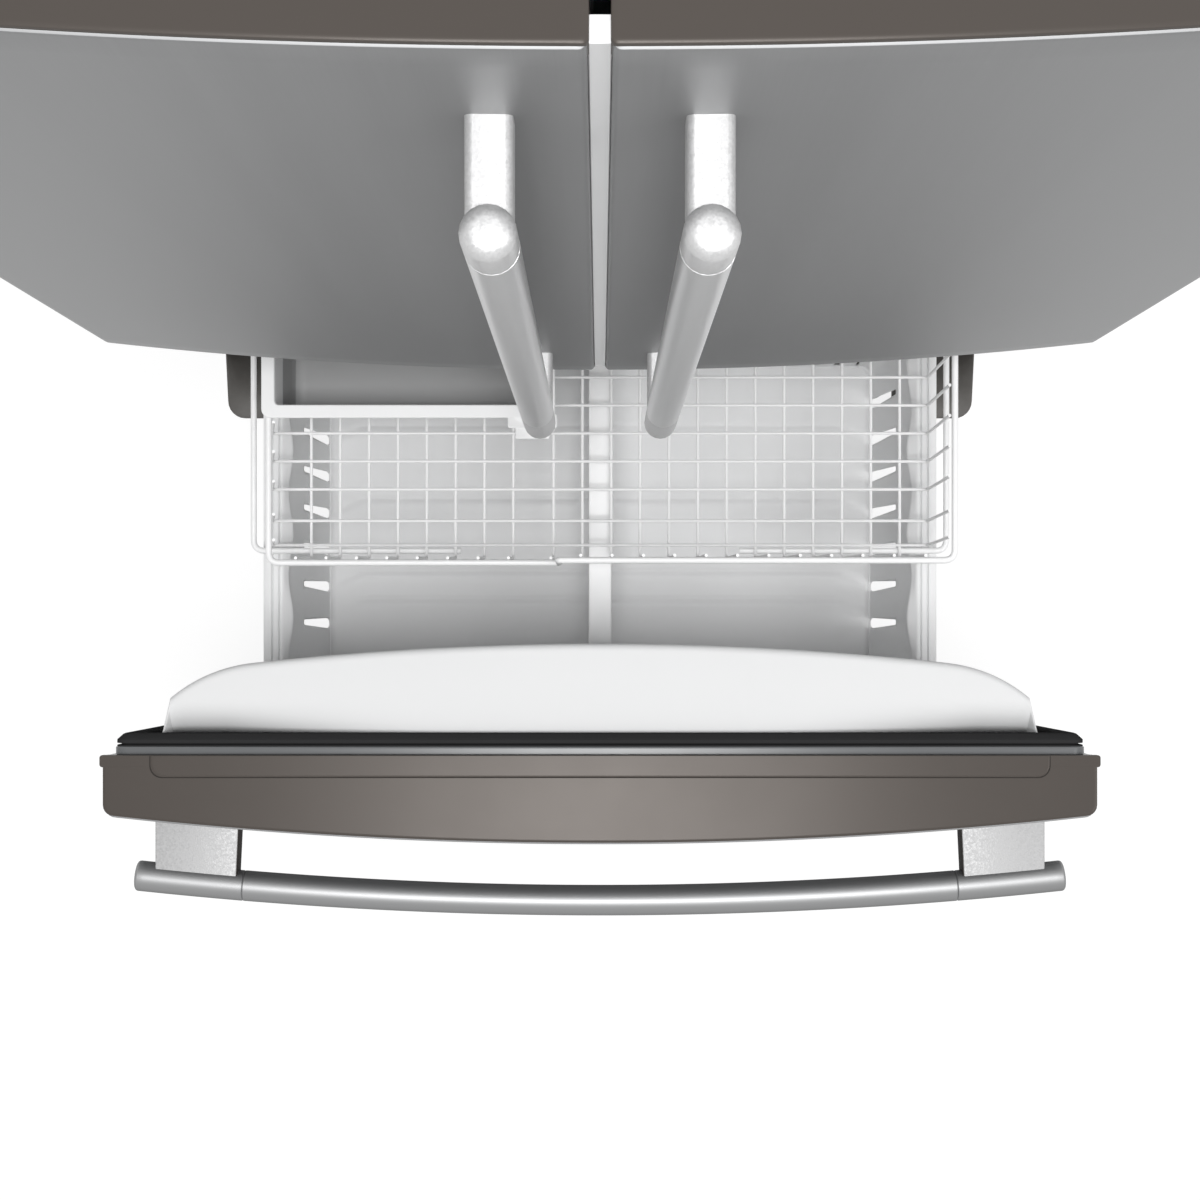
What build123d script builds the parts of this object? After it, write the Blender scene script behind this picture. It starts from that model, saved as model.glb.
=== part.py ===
from build123d import *
import os
from math import asin, cos, sin, sqrt

# A bottom freezer refrigerator with two upper doors and a pull-out freezer drawer, in millimetres.
# It is modelled as it was photographed: doors shut and the freezer drawer pulled right out.
# The origin is on the floor under the middle of the whole part in that pose.
# +X is to the right of someone who faces the doors, -Y points at them and +Z is up.

# Overall sizes
front_width = 905.0
case_depth = 735.0
case_top = 1743.0
case_bottom = 30.0
case_inset = 3.0
case_width = front_width - 2 * case_inset
door_bottom = 702.0
door_drop = 5.0
door_top = case_top - door_drop
drawer_bottom = 97.0
drawer_top = 692.0
slab_side_depth = 55.0
front_bow = 25.5
door_gap = 9.0
drawer_travel = 433.0

# Walls, seals and clearances
sheet = 1.0
liner_wall = 2.5
flange_depth = 8.0
gasket_depth = 12.0
gasket_width = 16.0
still_gap = 0.3
slide_gap = 0.3
bearing_gap = 0.05
slab_corner = 10.0
cap_depth = 22.0
cap_lip = 3.0

# Compartments inside the case
side_foam = 40.5
ceiling_foam = 43.0
back_foam = 55.0
ledge_width = 44.0
cavity_width = case_width - 2 * side_foam
slide_cavity_width = cavity_width - 2 * ledge_width
cavity_depth = case_depth - back_foam
slide_cavity_depth = cavity_depth - 230.0
fresh_floor = 722.0
fresh_ceiling = case_top - ceiling_foam
freezer_ceiling = 675.0
freezer_floor = 120.5
ledge_height = 371.0
mouth_depth = 60.0
cover_depth = 82.0
cover_setback = cavity_depth - cover_depth
liner_flange = 20.5
machine_top = 320.0
machine_depth = 235.0
machine_front = case_depth - machine_depth
toe_height = 62.0
pan_sheet = 2.0

# Handles
bar_reach = 60.0
drawer_bar_diameter = 28.9
drawer_bar_inset = 12.5
drawer_bar_height = 617.0
bracket_inset = 32.5
bracket_width = 78.0
bracket_seam = 3.0
bracket_height = 22.0
door_bar_diameter = 27.5
door_bar_offset = 52.0
door_bar_bottom = 780.0
door_bar_drop = 98.0
standoff_width = 23.0
standoff_height = 26.0
standoff_inset = 12.0

# Freezer drawer
drawer_bulge_gap = 6.5
drawer_bulge_width = cavity_width - 2 * drawer_bulge_gap
drawer_bulge_taper = 7.0
drawer_bulge_depth = 82.0
drawer_bulge_radius = 2900.0
drawer_bulge_bend = 325.0
drawer_bulge_end_radius = 130.0
drawer_bulge_over_bin = 9.0
drawer_bulge_top = 665.0
flange_inset = 12.5
slide_length = slide_cavity_depth - 76.0
slide_thickness = 6.3
slide_web = 1.5
slide_bottom = 292.0
slide_height = 42.0
bin_rim = 340.0
bin_floor = 130.0
bin_edge_width = 23.0
bin_edge_gap = 3.0
bin_side_slope = 19.0
bin_back_room = 56.0
bin_end_slope = 22.0
bin_front_slope = 10.0
bin_flare_height = 40.0
bin_flare_share = 0.63
bin_wall = 2.5
bin_edge_front = 12.0
bin_edge = 3.0
bin_corner = 24.0
bin_from_seal = 14.0
slot_count = 7
slot_pitch = 42.9
slot_shift = 12.4
slot_width = 8.0
slot_height = 150.0
slot_rise = 6.0
divider_width = 24.4
divider_wall = 1.8
divider_clear = 3.0

# Wire basket and ice bin
wire = 3.2
rod = 6.4
basket_inside_runner = 20.0
basket_back_room = 161.0
basket_ahead = 163.0
low_rim = 497.0
high_rim = 560.0
low_rim_lean = 15.0
lengthwise_pitch = 30.5
left_wires = 8
left_wire_margin = 41.8
step_gap = 42.5
right_wire_margin = 24.0
crosswise_pitch = 29.7
crosswise_start = 21.5
runner_on_ledge = 2.0
runner_return = 220.0
runner_ahead = 17.5
runner_bend = 12.0
ice_bin_margin = 20.0
ice_bin_width = 271.0
ice_bin_setback = 155.0
ice_bin_length = 207.0
ice_bin_rim = 504.0
ice_bin_wall = 2.2
ice_bin_edge = 22.0
ice_bin_edge_height = 2.5
ice_bin_corner = 8.0
tab_reach = 32.0
tab_width = 34.0
tab_root_reach = 21.0
tab_root_width = 52.0
tab_overhang = 7.0

# Doors
pin_inset = 22.0
pin_setback = 20.0
pin_diameter = 10.0
pin_length = 17.0
rib_depth = 50.0
rib_wall = 3.0
rib_bottom = 935.0
rib_drop = 48.0
rib_inset = 49.0
rib_from_mullion = 14.0
door_bin_depth = 92.0
door_bin_height = 95.0
door_bin_wall = 2.2
door_bin_rise = 15.0
door_bin_headroom = 230.0
door_bin_taper = 8.0
mullion_width = 40.0
mullion_depth = 15.0
mullion_inset = 1.0
mullion_corner = 4.0
mullion_end_gap = 4.0

# Fresh food compartment
crisper_height = 178.0
crisper_setback = 112.0
crisper_back_room = 80.0
crisper_side_gap = 24.0
crisper_centre_gap = 12.0
crisper_taper = 10.0
crisper_corner = 14.0
shelf_setback = 130.0
shelf_back_room = 38.0
shelf_side_gap = 8.0
shelf_centre_gap = 6.0
track_side_gap = 21.0
track_centre_gap = 88.0
glass = 4.0
frame_height = 14.0
frame_width = 12.0
crisper_cover_height = 926.0
left_shelf_shares = (0.2636, 0.5995)
right_shelf_shares = (0.354, 0.69)

# Feet
foot_side_gap = 59.5
foot_setback = 30.0
foot_diameter = 40.0
foot_height = 10.0
stem_diameter = 10.0
roller_back_gap = 45.0
roller_diameter = 44.0
roller_width = 24.0
axle_diameter = 8.0

# Planes that the sizes above settle
bar_and_reach = bar_reach + drawer_bar_diameter / 2
seal_depth = still_gap + gasket_depth + flange_depth
front_reach = seal_depth + slab_side_depth + front_bow + bar_and_reach + drawer_travel
case_front = (front_reach - case_depth) / 2
case_back = case_front + case_depth
case_half = case_width / 2
front_half = front_width / 2
cavity_half = cavity_width / 2
slide_half = slide_cavity_width / 2
slab_back = case_front - seal_depth
flange_back = slab_back + flange_depth
front_radius = (front_half**2 + front_bow**2) / (2 * front_bow)
front_centre = slab_back - slab_side_depth - front_bow + front_radius
foam_front = case_front + liner_wall
foam_half = cavity_half + liner_wall
split_height = (drawer_top + door_bottom) / 2
flange_half = cavity_half + liner_flange
ledge_back = case_front + cavity_depth
cover_front = case_front + cover_setback
drawer_bulge_bottom = bin_rim + bin_edge + drawer_bulge_over_bin
left_shelves = [
    crisper_cover_height + share * (fresh_ceiling - crisper_cover_height) for share in left_shelf_shares
]
right_shelves = [
    crisper_cover_height + share * (fresh_ceiling - crisper_cover_height) for share in right_shelf_shares
]


def block(x0, x1, y0, y1, z0, z1, mode=Mode.ADD):
    """A straight block between two corners, put into the part that is being built."""
    with Locations(((x0 + x1) / 2, (y0 + y1) / 2, (z0 + z1) / 2)):
        Box(abs(x1 - x0), abs(y1 - y0), abs(z1 - z0), mode=mode)


def upright(x, y, z0, z1, diameter, mode=Mode.ADD):
    """A round bar that stands on z0 and ends at z1."""
    with Locations((x, y, (z0 + z1) / 2)):
        Cylinder(diameter / 2, z1 - z0, mode=mode)


def solid_block(x0, x1, y0, y1, z0, z1):
    """A separate straight block, for a node that is a group of solids."""
    with BuildPart() as piece:
        block(x0, x1, y0, y1, z0, z1)
    return piece.part


def front_at(x, inset, travel):
    """Y of the bowed front at x, for a slab that stands travel in front of its shut place."""
    return front_centre - travel - sqrt((front_radius - inset) ** 2 - x**2)


def slab_face(left, right, back, inset, left_corner, right_corner, travel):
    """Plan of a door or drawer slab: straight back and sides, bowed front, rounded front corners."""
    left_end = (left, front_at(left, inset, travel))
    right_end = (right, front_at(right, inset, travel))
    middle = (left + right) / 2
    with BuildSketch() as plan:
        with BuildLine():
            Line((left, back), left_end)
            ThreePointArc(left_end, (middle, front_at(middle, inset, travel)), right_end)
            Line(right_end, (right, back))
            Line((right, back), (left, back))
        make_face()
        near_left = plan.vertices().filter_by_position(Axis.X, left - 0.01, left + 0.01)
        fillet(near_left.sort_by(Axis.Y)[0], radius=left_corner)
        near_right = plan.vertices().filter_by_position(Axis.X, right - 0.01, right + 0.01)
        fillet(near_right.sort_by(Axis.Y)[0], radius=right_corner)
    return plan.sketch


def slab(left, right, bottom, top, back, inset, left_corner, right_corner, travel=0.0):
    """A solid slab of the plan above."""
    with BuildPart() as piece:
        with BuildSketch(Plane.XY.offset(bottom)):
            add(slab_face(left, right, back, inset, left_corner, right_corner, travel))
        extrude(amount=top - bottom)
    return piece.part


def slab_skin(left, right, bottom, top, back, left_corner, right_corner, travel=0.0):
    """Sheet steel wrapped round the front and both sides of a slab."""
    with BuildPart() as piece:
        add(slab(left, right, bottom, top, back, 0.0, left_corner, right_corner, travel))
        inner = slab(
            left + sheet, right - sheet, bottom - 1, top + 1, back + 1, sheet,
            left_corner - sheet, right_corner - sheet, travel,
        )
        add(inner, mode=Mode.SUBTRACT)
    return piece.part


def slab_cap(left, right, edge, inward, back, left_corner, right_corner, travel=0.0):
    """End cap: a lip that covers the edge of the skin and a plug inside it. inward is +1 for a bottom cap."""
    lip = sorted((edge, edge + inward * cap_lip))
    plug = sorted((edge + inward * cap_lip, edge + inward * cap_depth))
    with BuildPart() as piece:
        add(slab(left, right, lip[0], lip[1], back, 0.0, left_corner, right_corner, travel))
        add(slab(
            left + sheet, right - sheet, plug[0], plug[1], back, sheet,
            left_corner - sheet, right_corner - sheet, travel,
        ))
    return piece.part


def ring(x0, x1, y0, y1, z0, z1, width):
    """A rectangular ring that stands upright, as a gasket does."""
    with BuildPart() as piece:
        block(x0, x1, y0, y1, z0, z1)
        block(x0 + width, x1 - width, y0 - 1, y1 + 1, z0 + width, z1 - width, Mode.SUBTRACT)
    return piece.part


def tub(bottom_size, top_size, bottom_centre, top_centre, z0, z1, wall, corner, floor=None):
    """An open tub with sloping walls and rounded corners. Its floor is as thick as its wall, or as floor says."""
    with BuildPart() as piece:
        with BuildSketch(Plane.XY.offset(z0)):
            with Locations(bottom_centre):
                RectangleRounded(bottom_size[0], bottom_size[1], corner)
        with BuildSketch(Plane.XY.offset(z1)):
            with Locations(top_centre):
                RectangleRounded(top_size[0], top_size[1], corner)
        loft()
        with BuildSketch(Plane.XY.offset(z0 + (wall if floor is None else floor))):
            with Locations(bottom_centre):
                RectangleRounded(bottom_size[0] - 2 * wall, bottom_size[1] - 2 * wall, corner - wall)
        with BuildSketch(Plane.XY.offset(z1)):
            with Locations(top_centre):
                RectangleRounded(top_size[0] - 2 * wall, top_size[1] - 2 * wall, corner - wall)
        loft(mode=Mode.SUBTRACT)
    return piece.part


def group(*solids):
    """Separate solids that share one node."""
    return Compound(children=list(solids))


pieces = {}

# Outer case: one sheet bent over both sides and the top, with a narrow return at the front.
with BuildPart() as outer_case:
    block(-case_half, case_half, case_front, case_back - sheet, case_bottom, case_top)
    block(
        -case_half + sheet, case_half - sheet, case_front + sheet, case_back,
        case_bottom - 1, case_top - sheet, Mode.SUBTRACT,
    )
    block(
        -flange_half, flange_half, case_front - 1, case_front + sheet,
        case_bottom - 1, case_top - (case_half - flange_half), Mode.SUBTRACT,
    )
pieces["outer_case"] = outer_case.part

# Back panel: flat sheet behind the foam, above the machine space.
with BuildPart() as back_panel:
    block(-case_half, case_half, case_back - sheet, case_back, machine_top, case_top)
pieces["back_panel"] = back_panel.part

# Machine cover: board with rows of upright slots that closes the machine space at the back.
cover_bottom = 40.0
cover_board = 1.5
cover_slots = 18
cover_slot_rows = 2
with BuildPart() as machine_cover:
    block(
        -case_half + sheet, case_half - sheet, case_back - sheet - cover_board, case_back - sheet,
        cover_bottom, machine_top,
    )
    with BuildSketch(Plane.XZ.offset(-case_back + sheet)):
        with Locations((0, (cover_bottom + machine_top) / 2)):
            with GridLocations(36, 110, cover_slots, cover_slot_rows):
                SlotOverall(80, 8, rotation=90)
    extrude(amount=-10, both=True, mode=Mode.SUBTRACT)
pieces["machine_cover"] = machine_cover.part

# Insulation: foam between the case and the liners, poured as one filling and drawn as straight blocks.
foam_back = case_back - sheet
side_foam_back = foam_back - cover_board
foam_side = case_half - sheet
foam_bottom = case_bottom + pan_sheet
slide_foam = slide_half + liner_wall
slide_foam_back = case_front + slide_cavity_depth + liner_wall
machine_wall = case_front + machine_front
rear_wall = case_front + cavity_depth + liner_wall
floor_top = freezer_floor - liner_wall
step_top = ledge_height - liner_wall
mouth_foam = case_front + mouth_depth + liner_wall
foam_blocks = [
    (-foam_side, -foam_half, foam_front, side_foam_back, foam_bottom, case_top - sheet),
    (foam_half, foam_side, foam_front, side_foam_back, foam_bottom, case_top - sheet),
    (-foam_half, foam_half, foam_front, foam_back, fresh_ceiling + liner_wall, case_top - sheet),
    (-foam_half, foam_half, rear_wall, foam_back, machine_top, fresh_ceiling + liner_wall),
    (-foam_half, foam_half, foam_front, rear_wall, freezer_ceiling + liner_wall, fresh_floor - liner_wall),
    (-foam_half, -slide_foam, mouth_foam, rear_wall, machine_top, step_top),
    (slide_foam, foam_half, mouth_foam, rear_wall, machine_top, step_top),
    (-foam_half, -slide_foam, mouth_foam, machine_wall, floor_top, machine_top),
    (slide_foam, foam_half, mouth_foam, machine_wall, floor_top, machine_top),
    (-foam_half, foam_half, mouth_foam, machine_wall, foam_bottom, floor_top),
    (-foam_half, foam_half, foam_front, mouth_foam, toe_height, floor_top),
    (-slide_foam, slide_foam, slide_foam_back, machine_wall, floor_top, step_top),
    (-slide_foam, slide_foam, machine_wall, rear_wall, machine_top, step_top),
]
pieces["cabinet_insulation"] = group(*[solid_block(*corners) for corners in foam_blocks])

# Fresh food liner: a moulded tub open at the front, with a flange that covers the front of the foam.
with BuildPart() as fresh_food_liner:
    block(
        -foam_half, foam_half, case_front, rear_wall,
        fresh_floor - liner_wall, fresh_ceiling + liner_wall,
    )
    block(
        -flange_half, flange_half, case_front, foam_front,
        split_height + still_gap, case_top - (case_half - flange_half),
    )
    block(
        -cavity_half, cavity_half, case_front - 1, ledge_back,
        fresh_floor, fresh_ceiling, Mode.SUBTRACT,
    )
pieces["fresh_food_liner"] = fresh_food_liner.part

# Freezer liner: narrower at the bottom, where the slides are, and wider above, where the basket's
# rods run in a channel between the ledge and a rib.
channel_height = rod + 2 * slide_gap + 0.5
rib_height = 5.5
runner_half = slide_half + runner_on_ledge
rib_half = runner_half - rod / 2 - 1.5
with BuildPart() as freezer_liner:
    block(-foam_half, foam_half, case_front, mouth_foam, floor_top, freezer_ceiling + liner_wall)
    block(-slide_foam, slide_foam, case_front, slide_foam_back, floor_top, ledge_height)
    block(-foam_half, foam_half, case_front, rear_wall, step_top, freezer_ceiling + liner_wall)
    block(
        -flange_half, flange_half, case_front, foam_front,
        toe_height, split_height - still_gap,
    )
    block(
        -cavity_half, cavity_half, case_front - 1, case_front + mouth_depth,
        freezer_floor, freezer_ceiling, Mode.SUBTRACT,
    )
    block(
        -slide_half, slide_half, case_front, case_front + slide_cavity_depth,
        freezer_floor, ledge_height + 1, Mode.SUBTRACT,
    )
    block(
        -cavity_half, cavity_half, case_front, ledge_back,
        ledge_height, freezer_ceiling, Mode.SUBTRACT,
    )
    for side in (-1, 1):
        x0, x1 = sorted((side * rib_half, side * cavity_half))
        rib_bottom_z = ledge_height + channel_height
        block(
            x0, x1, case_front + mouth_depth, cover_front - 2 * still_gap,
            rib_bottom_z, rib_bottom_z + rib_height,
        )
pieces["freezer_liner"] = freezer_liner.part

# Base pan: flat sheet under the foam with a threaded boss for each foot and ears for the roller axle.
foot_half = case_half - foot_side_gap
roller_half = foot_half
foot_y = case_front + foot_setback
roller_y = case_back - roller_back_gap
axle_z = roller_diameter / 2
boss_size = 34.0
boss_height = 26.0
ear_wall = 4.0
ear_gap = 1.0
ear_half = roller_width / 2 + ear_gap
with BuildPart() as base_pan:
    block(
        -case_half + sheet, case_half - sheet, case_front + sheet, side_foam_back,
        case_bottom, foam_bottom,
    )
    for side in (-1, 1):
        block(
            side * foot_half - boss_size / 2, side * foot_half + boss_size / 2,
            foot_y - boss_size / 2 + 4, foot_y + boss_size / 2, foam_bottom, foam_bottom + boss_height,
        )
        upright(
            side * foot_half, foot_y, case_bottom - 1, foam_bottom + boss_height + 1,
            stem_diameter + 2 * bearing_gap, Mode.SUBTRACT,
        )
        middle = side * roller_half
        block(
            middle - ear_half, middle + ear_half, roller_y - roller_diameter / 2 - 3,
            roller_y + roller_diameter / 2 + 3, case_bottom - 1, foam_bottom + 1, Mode.SUBTRACT,
        )
        for end in (-1, 1):
            inner = middle + end * ear_half
            outer = middle + end * (ear_half + ear_wall)
            x0, x1 = sorted((inner, outer))
            block(x0, x1, roller_y - 12, roller_y + 12, axle_z - 10, case_bottom)
    with Locations((0, roller_y, axle_z)):
        Cylinder(
            axle_diameter / 2 + bearing_gap, case_width, rotation=(0, 90, 0), mode=Mode.SUBTRACT,
        )
pieces["base_pan"] = base_pan.part

# Levelling legs: a disc foot on a threaded stem, one at each front corner.
for side, name in ((-1, "left_leveling_leg"), (1, "right_leveling_leg")):
    with BuildPart() as leveling_leg:
        upright(side * foot_half, foot_y, 0, foot_height, foot_diameter)
        fillet(leveling_leg.faces().sort_by(Axis.Z)[-1].edges(), radius=3)
        upright(side * foot_half, foot_y, foot_height, foam_bottom + boss_height - 2, stem_diameter)
    pieces[name] = leveling_leg.part

# Rear rollers: two wheels on one axle that turns in the ears of the pan.
axle_half = roller_half + ear_half + ear_wall + 3
with BuildPart() as rear_rollers:
    with Locations((0, roller_y, axle_z)):
        Cylinder(axle_diameter / 2, 2 * axle_half, rotation=(0, 90, 0))
    for side in (-1, 1):
        with Locations((side * roller_half, roller_y, axle_z)):
            Cylinder(roller_diameter / 2, roller_width, rotation=(0, 90, 0))
pieces["rear_rollers"] = rear_rollers.part

# Base grille: a shallow cover in front of the toe space, louvred across its front.
grille_half = front_half - 5.5
grille_reach = 82.0
grille_bottom = 15.0
grille_top = 92.0
grille_wall = 3.0
grille_corner = 22.0
louvre_pitch = 60.0
louvre_count = int((grille_half - grille_corner) // louvre_pitch) * 2 - 1
with BuildPart() as base_grille:
    with BuildSketch(Plane.XY.offset(grille_bottom)) as grille_plan:
        with Locations((0, case_front - grille_reach / 2)):
            Rectangle(2 * grille_half, grille_reach)
        fillet(grille_plan.vertices().group_by(Axis.Y)[0], radius=grille_corner)
    extrude(amount=grille_top - grille_bottom)
    with BuildSketch(Plane.XY.offset(grille_bottom)) as grille_hollow:
        with Locations((0, case_front - (grille_reach - grille_wall) / 2)):
            Rectangle(2 * (grille_half - grille_wall), grille_reach - grille_wall)
        fillet(grille_hollow.vertices().group_by(Axis.Y)[0], radius=grille_corner - grille_wall)
    extrude(amount=grille_top - grille_bottom - grille_wall, mode=Mode.SUBTRACT)
    with BuildSketch(Plane.XZ.offset(-(case_front - grille_reach))):
        with Locations((0, (grille_bottom + grille_top) / 2)):
            with GridLocations(louvre_pitch, 18, louvre_count, 3):
                SlotOverall(50, 6)
    extrude(amount=-3 * grille_wall, both=True, mode=Mode.SUBTRACT)
pieces["base_grille"] = base_grille.part

# Compressor: a domed steel can on a foot plate, standing on four rubber mounts.
compressor_x = case_half - 199.5
compressor_y = case_front + machine_front + 118
compressor_radius = 64.0
mount_height = 18.0
foot_plate = 4.0
plate_half_x = 85.0
plate_half_y = 70.0
with BuildPart() as compressor:
    plate_z = foam_bottom + mount_height
    block(
        compressor_x - plate_half_x, compressor_x + plate_half_x,
        compressor_y - plate_half_y, compressor_y + plate_half_y, plate_z, plate_z + foot_plate,
    )
    upright(compressor_x, compressor_y, plate_z + foot_plate, plate_z + 150, 2 * compressor_radius)
    fillet(compressor.faces().sort_by(Axis.Z)[-1].edges(), radius=40)
    upright(compressor_x + 20, compressor_y, plate_z + 149, plate_z + 165, 24)
pieces["compressor"] = compressor.part

mounts = []
for dx in (-1, 1):
    for dy in (-1, 1):
        with BuildPart() as mount:
            upright(
                compressor_x + dx * (plate_half_x - 16), compressor_y + dy * (plate_half_y - 16),
                foam_bottom, foam_bottom + mount_height, 28,
            )
        mounts.append(mount.part)
pieces["compressor_mounts"] = group(*mounts)

# Condenser: plate fins on straight tubes between two end plates that stand on the pan.
fin_count = 15
fin_pitch = 12.5
fin_bottom = 74.0
fin_top = 270.0
tube_radius = 4.0
condenser_x = -case_half + 51.5
condenser_front = case_front + machine_front + 10
condenser_back = condenser_front + 145
condenser_end = condenser_x + (fin_count + 1) * fin_pitch
with BuildPart() as condenser:
    for index in range(fin_count + 2):
        x = condenser_x + index * fin_pitch
        bottom = foam_bottom if index in (0, fin_count + 1) else fin_bottom
        block(x, x + sheet, condenser_front, condenser_back, bottom, fin_top)
    with Locations(*[
        ((condenser_x + condenser_end) / 2, condenser_front + dy, dz)
        for dy in (36, 108)
        for dz in (110, 170, 230)
    ]):
        Cylinder(tube_radius, condenser_end - condenser_x + 2 * tube_radius, rotation=(0, 90, 0))
pieces["condenser"] = condenser.part

# Drain pan: shallow tub on the base under the condenser.
pan_inset = 6.0
pan_reach = 8.0
pan_top = 64.0
with BuildPart() as drain_pan:
    block(
        condenser_x + pan_inset, condenser_end - pan_inset,
        condenser_front - pan_reach, condenser_back + pan_reach, foam_bottom, pan_top,
    )
    block(
        condenser_x + pan_inset + liner_wall, condenser_end - pan_inset - liner_wall,
        condenser_front - pan_reach + liner_wall, condenser_back + pan_reach - liner_wall,
        foam_bottom + liner_wall, pan_top + 1, Mode.SUBTRACT,
    )
pieces["drain_pan"] = drain_pan.part

# Fans: each motor is a can with a shaft, and each rotor is a hub with five blades on that shaft.
shaft_radius = 3.0
hub_radius = 17.0
blade_count = 5
condenser_fan_y = case_front + machine_front + 110
condenser_fan_z = 170.0
condenser_fan_radius = 78.0
condenser_motor_x = condenser_end + 86
evaporator_fan_z = 590.0
evaporator_fan_radius = 56.0
evaporator_motor_y = ledge_back - 30


def fan_rotor(axis_plane, radius, depth):
    """Hub and pitched blades round the normal of axis_plane, which is at the front of the hub."""
    with BuildPart() as rotor:
        with BuildSketch(axis_plane):
            Circle(hub_radius)
        extrude(amount=depth)
        with BuildSketch(axis_plane.offset(depth / 2)):
            with PolarLocations((hub_radius + radius) / 2 - 1, blade_count):
                SlotOverall(radius - hub_radius + 6, hub_radius * 1.2)
        extrude(amount=2, both=True)
        with BuildSketch(axis_plane):
            Circle(shaft_radius + bearing_gap)
        extrude(amount=depth, mode=Mode.SUBTRACT)
    return rotor.part


with BuildPart() as condenser_motor:
    with Locations((condenser_motor_x - 20, condenser_fan_y, condenser_fan_z)):
        Cylinder(28, 40, rotation=(0, 90, 0))
    with Locations((condenser_motor_x - 58, condenser_fan_y, condenser_fan_z)):
        Cylinder(shaft_radius, 40, rotation=(0, 90, 0))
    block(
        condenser_motor_x, condenser_motor_x + 4, condenser_fan_y - 24, condenser_fan_y + 24,
        foam_bottom, condenser_fan_z + 30,
    )
    block(
        condenser_motor_x, condenser_motor_x + 40, condenser_fan_y - 24, condenser_fan_y + 24,
        foam_bottom, foam_bottom + 3,
    )
with BuildPart() as evaporator_motor:
    with Locations((0, evaporator_motor_y + 12, evaporator_fan_z)):
        Cylinder(24, 24, rotation=(90, 0, 0))
    with Locations((0, evaporator_motor_y - 21, evaporator_fan_z)):
        Cylinder(shaft_radius, 44, rotation=(90, 0, 0))
    block(-55, 55, evaporator_motor_y + 24, ledge_back, evaporator_fan_z - 20, evaporator_fan_z + 20)
pieces["fan_motors"] = group(condenser_motor.part, evaporator_motor.part)
pieces["condenser_fan"] = fan_rotor(
    Plane((condenser_motor_x - 76, condenser_fan_y, condenser_fan_z), z_dir=(1, 0, 0)),
    condenser_fan_radius, 30,
)
pieces["evaporator_fan"] = fan_rotor(
    Plane((0, evaporator_motor_y - 42, evaporator_fan_z), z_dir=(0, 1, 0)),
    evaporator_fan_radius, 24,
)

# Evaporator: upright plate fins on crosswise tubes against the back of the freezer liner.
evaporator_half = cavity_half - 89
evaporator_depth = 56.0
evaporator_bottom = 392.0
evaporator_top = 522.0
evaporator_fins = 17
with BuildPart() as evaporator:
    for index in range(evaporator_fins):
        x = -evaporator_half + index * 2 * evaporator_half / (evaporator_fins - 1)
        block(
            x - sheet / 2, x + sheet / 2, ledge_back - evaporator_depth, ledge_back,
            evaporator_bottom, evaporator_top,
        )
    with Locations(*[
        (0, ledge_back - dy, evaporator_bottom + dz) for dy in (16, 42) for dz in (20, 65, 110)
    ]):
        Cylinder(tube_radius, 2 * evaporator_half + 20, rotation=(0, 90, 0))
pieces["evaporator"] = evaporator.part

# Evaporator cover: white panel across the back of the freezer, with a round air inlet and slots.
cover_wall = 3.0
cheek_bottom = 400.0
cheek_top = 640.0
cheek_gap = 2.0
with BuildPart() as evaporator_cover:
    block(
        -cavity_half + still_gap, cavity_half - still_gap, cover_front, cover_front + cover_wall,
        ledge_height + still_gap, freezer_ceiling - still_gap,
    )
    for side in (-1, 1):
        x0, x1 = sorted((side * (cavity_half - cheek_gap), side * (cavity_half - cheek_gap - cover_wall)))
        block(x0, x1, cover_front + cover_wall, ledge_back, cheek_bottom, cheek_top)
    with Locations((0, cover_front, evaporator_fan_z)):
        Cylinder(evaporator_fan_radius + 4, 20, rotation=(90, 0, 0), mode=Mode.SUBTRACT)
    with BuildSketch(Plane.XZ.offset(-cover_front)):
        with Locations((0, cheek_bottom)):
            with GridLocations(60, 14, 10, 2):
                SlotOverall(44, 6)
    extrude(amount=-2 * cover_wall, both=True, mode=Mode.SUBTRACT)
pieces["evaporator_cover"] = evaporator_cover.part

# Air duct: white tower up the back of the fresh food space with outlets in its front.
duct_half = 65.0
duct_depth = 24.0
duct_bottom = crisper_cover_height + 14
duct_top = fresh_ceiling - 40
outlet_pitch = (duct_top - duct_bottom) / 6
with BuildPart() as air_duct:
    block(-duct_half, duct_half, ledge_back - duct_depth, ledge_back, duct_bottom, duct_top)
    block(
        -duct_half + cover_wall, duct_half - cover_wall, ledge_back - duct_depth + cover_wall,
        ledge_back + 1, duct_bottom + cover_wall, duct_top - cover_wall, Mode.SUBTRACT,
    )
    with BuildSketch(Plane.XZ.offset(-(ledge_back - duct_depth))):
        with Locations((0, (duct_bottom + duct_top) / 2)):
            with GridLocations(1, outlet_pitch, 1, 5):
                SlotOverall(90, 10)
    extrude(amount=-8, both=True, mode=Mode.SUBTRACT)
pieces["air_duct"] = air_duct.part

# Control panel: flat housing under the ceiling of the fresh food space with a lens in it.
panel_half = 170.0
panel_front = case_front + mouth_depth
panel_length = 128.0
panel_drop = 24.0
lens_half = 120.0
lens_inset = 28.0
with BuildPart() as control_panel:
    block(
        -panel_half, panel_half, panel_front, panel_front + panel_length,
        fresh_ceiling - panel_drop, fresh_ceiling,
    )
    fillet(control_panel.edges().filter_by(Axis.Z), radius=14)
    block(
        -lens_half, lens_half, panel_front + lens_inset, panel_front + panel_length - lens_inset,
        fresh_ceiling - panel_drop - 1, fresh_ceiling - panel_drop + 3, Mode.SUBTRACT,
    )
pieces["control_panel"] = control_panel.part

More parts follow.
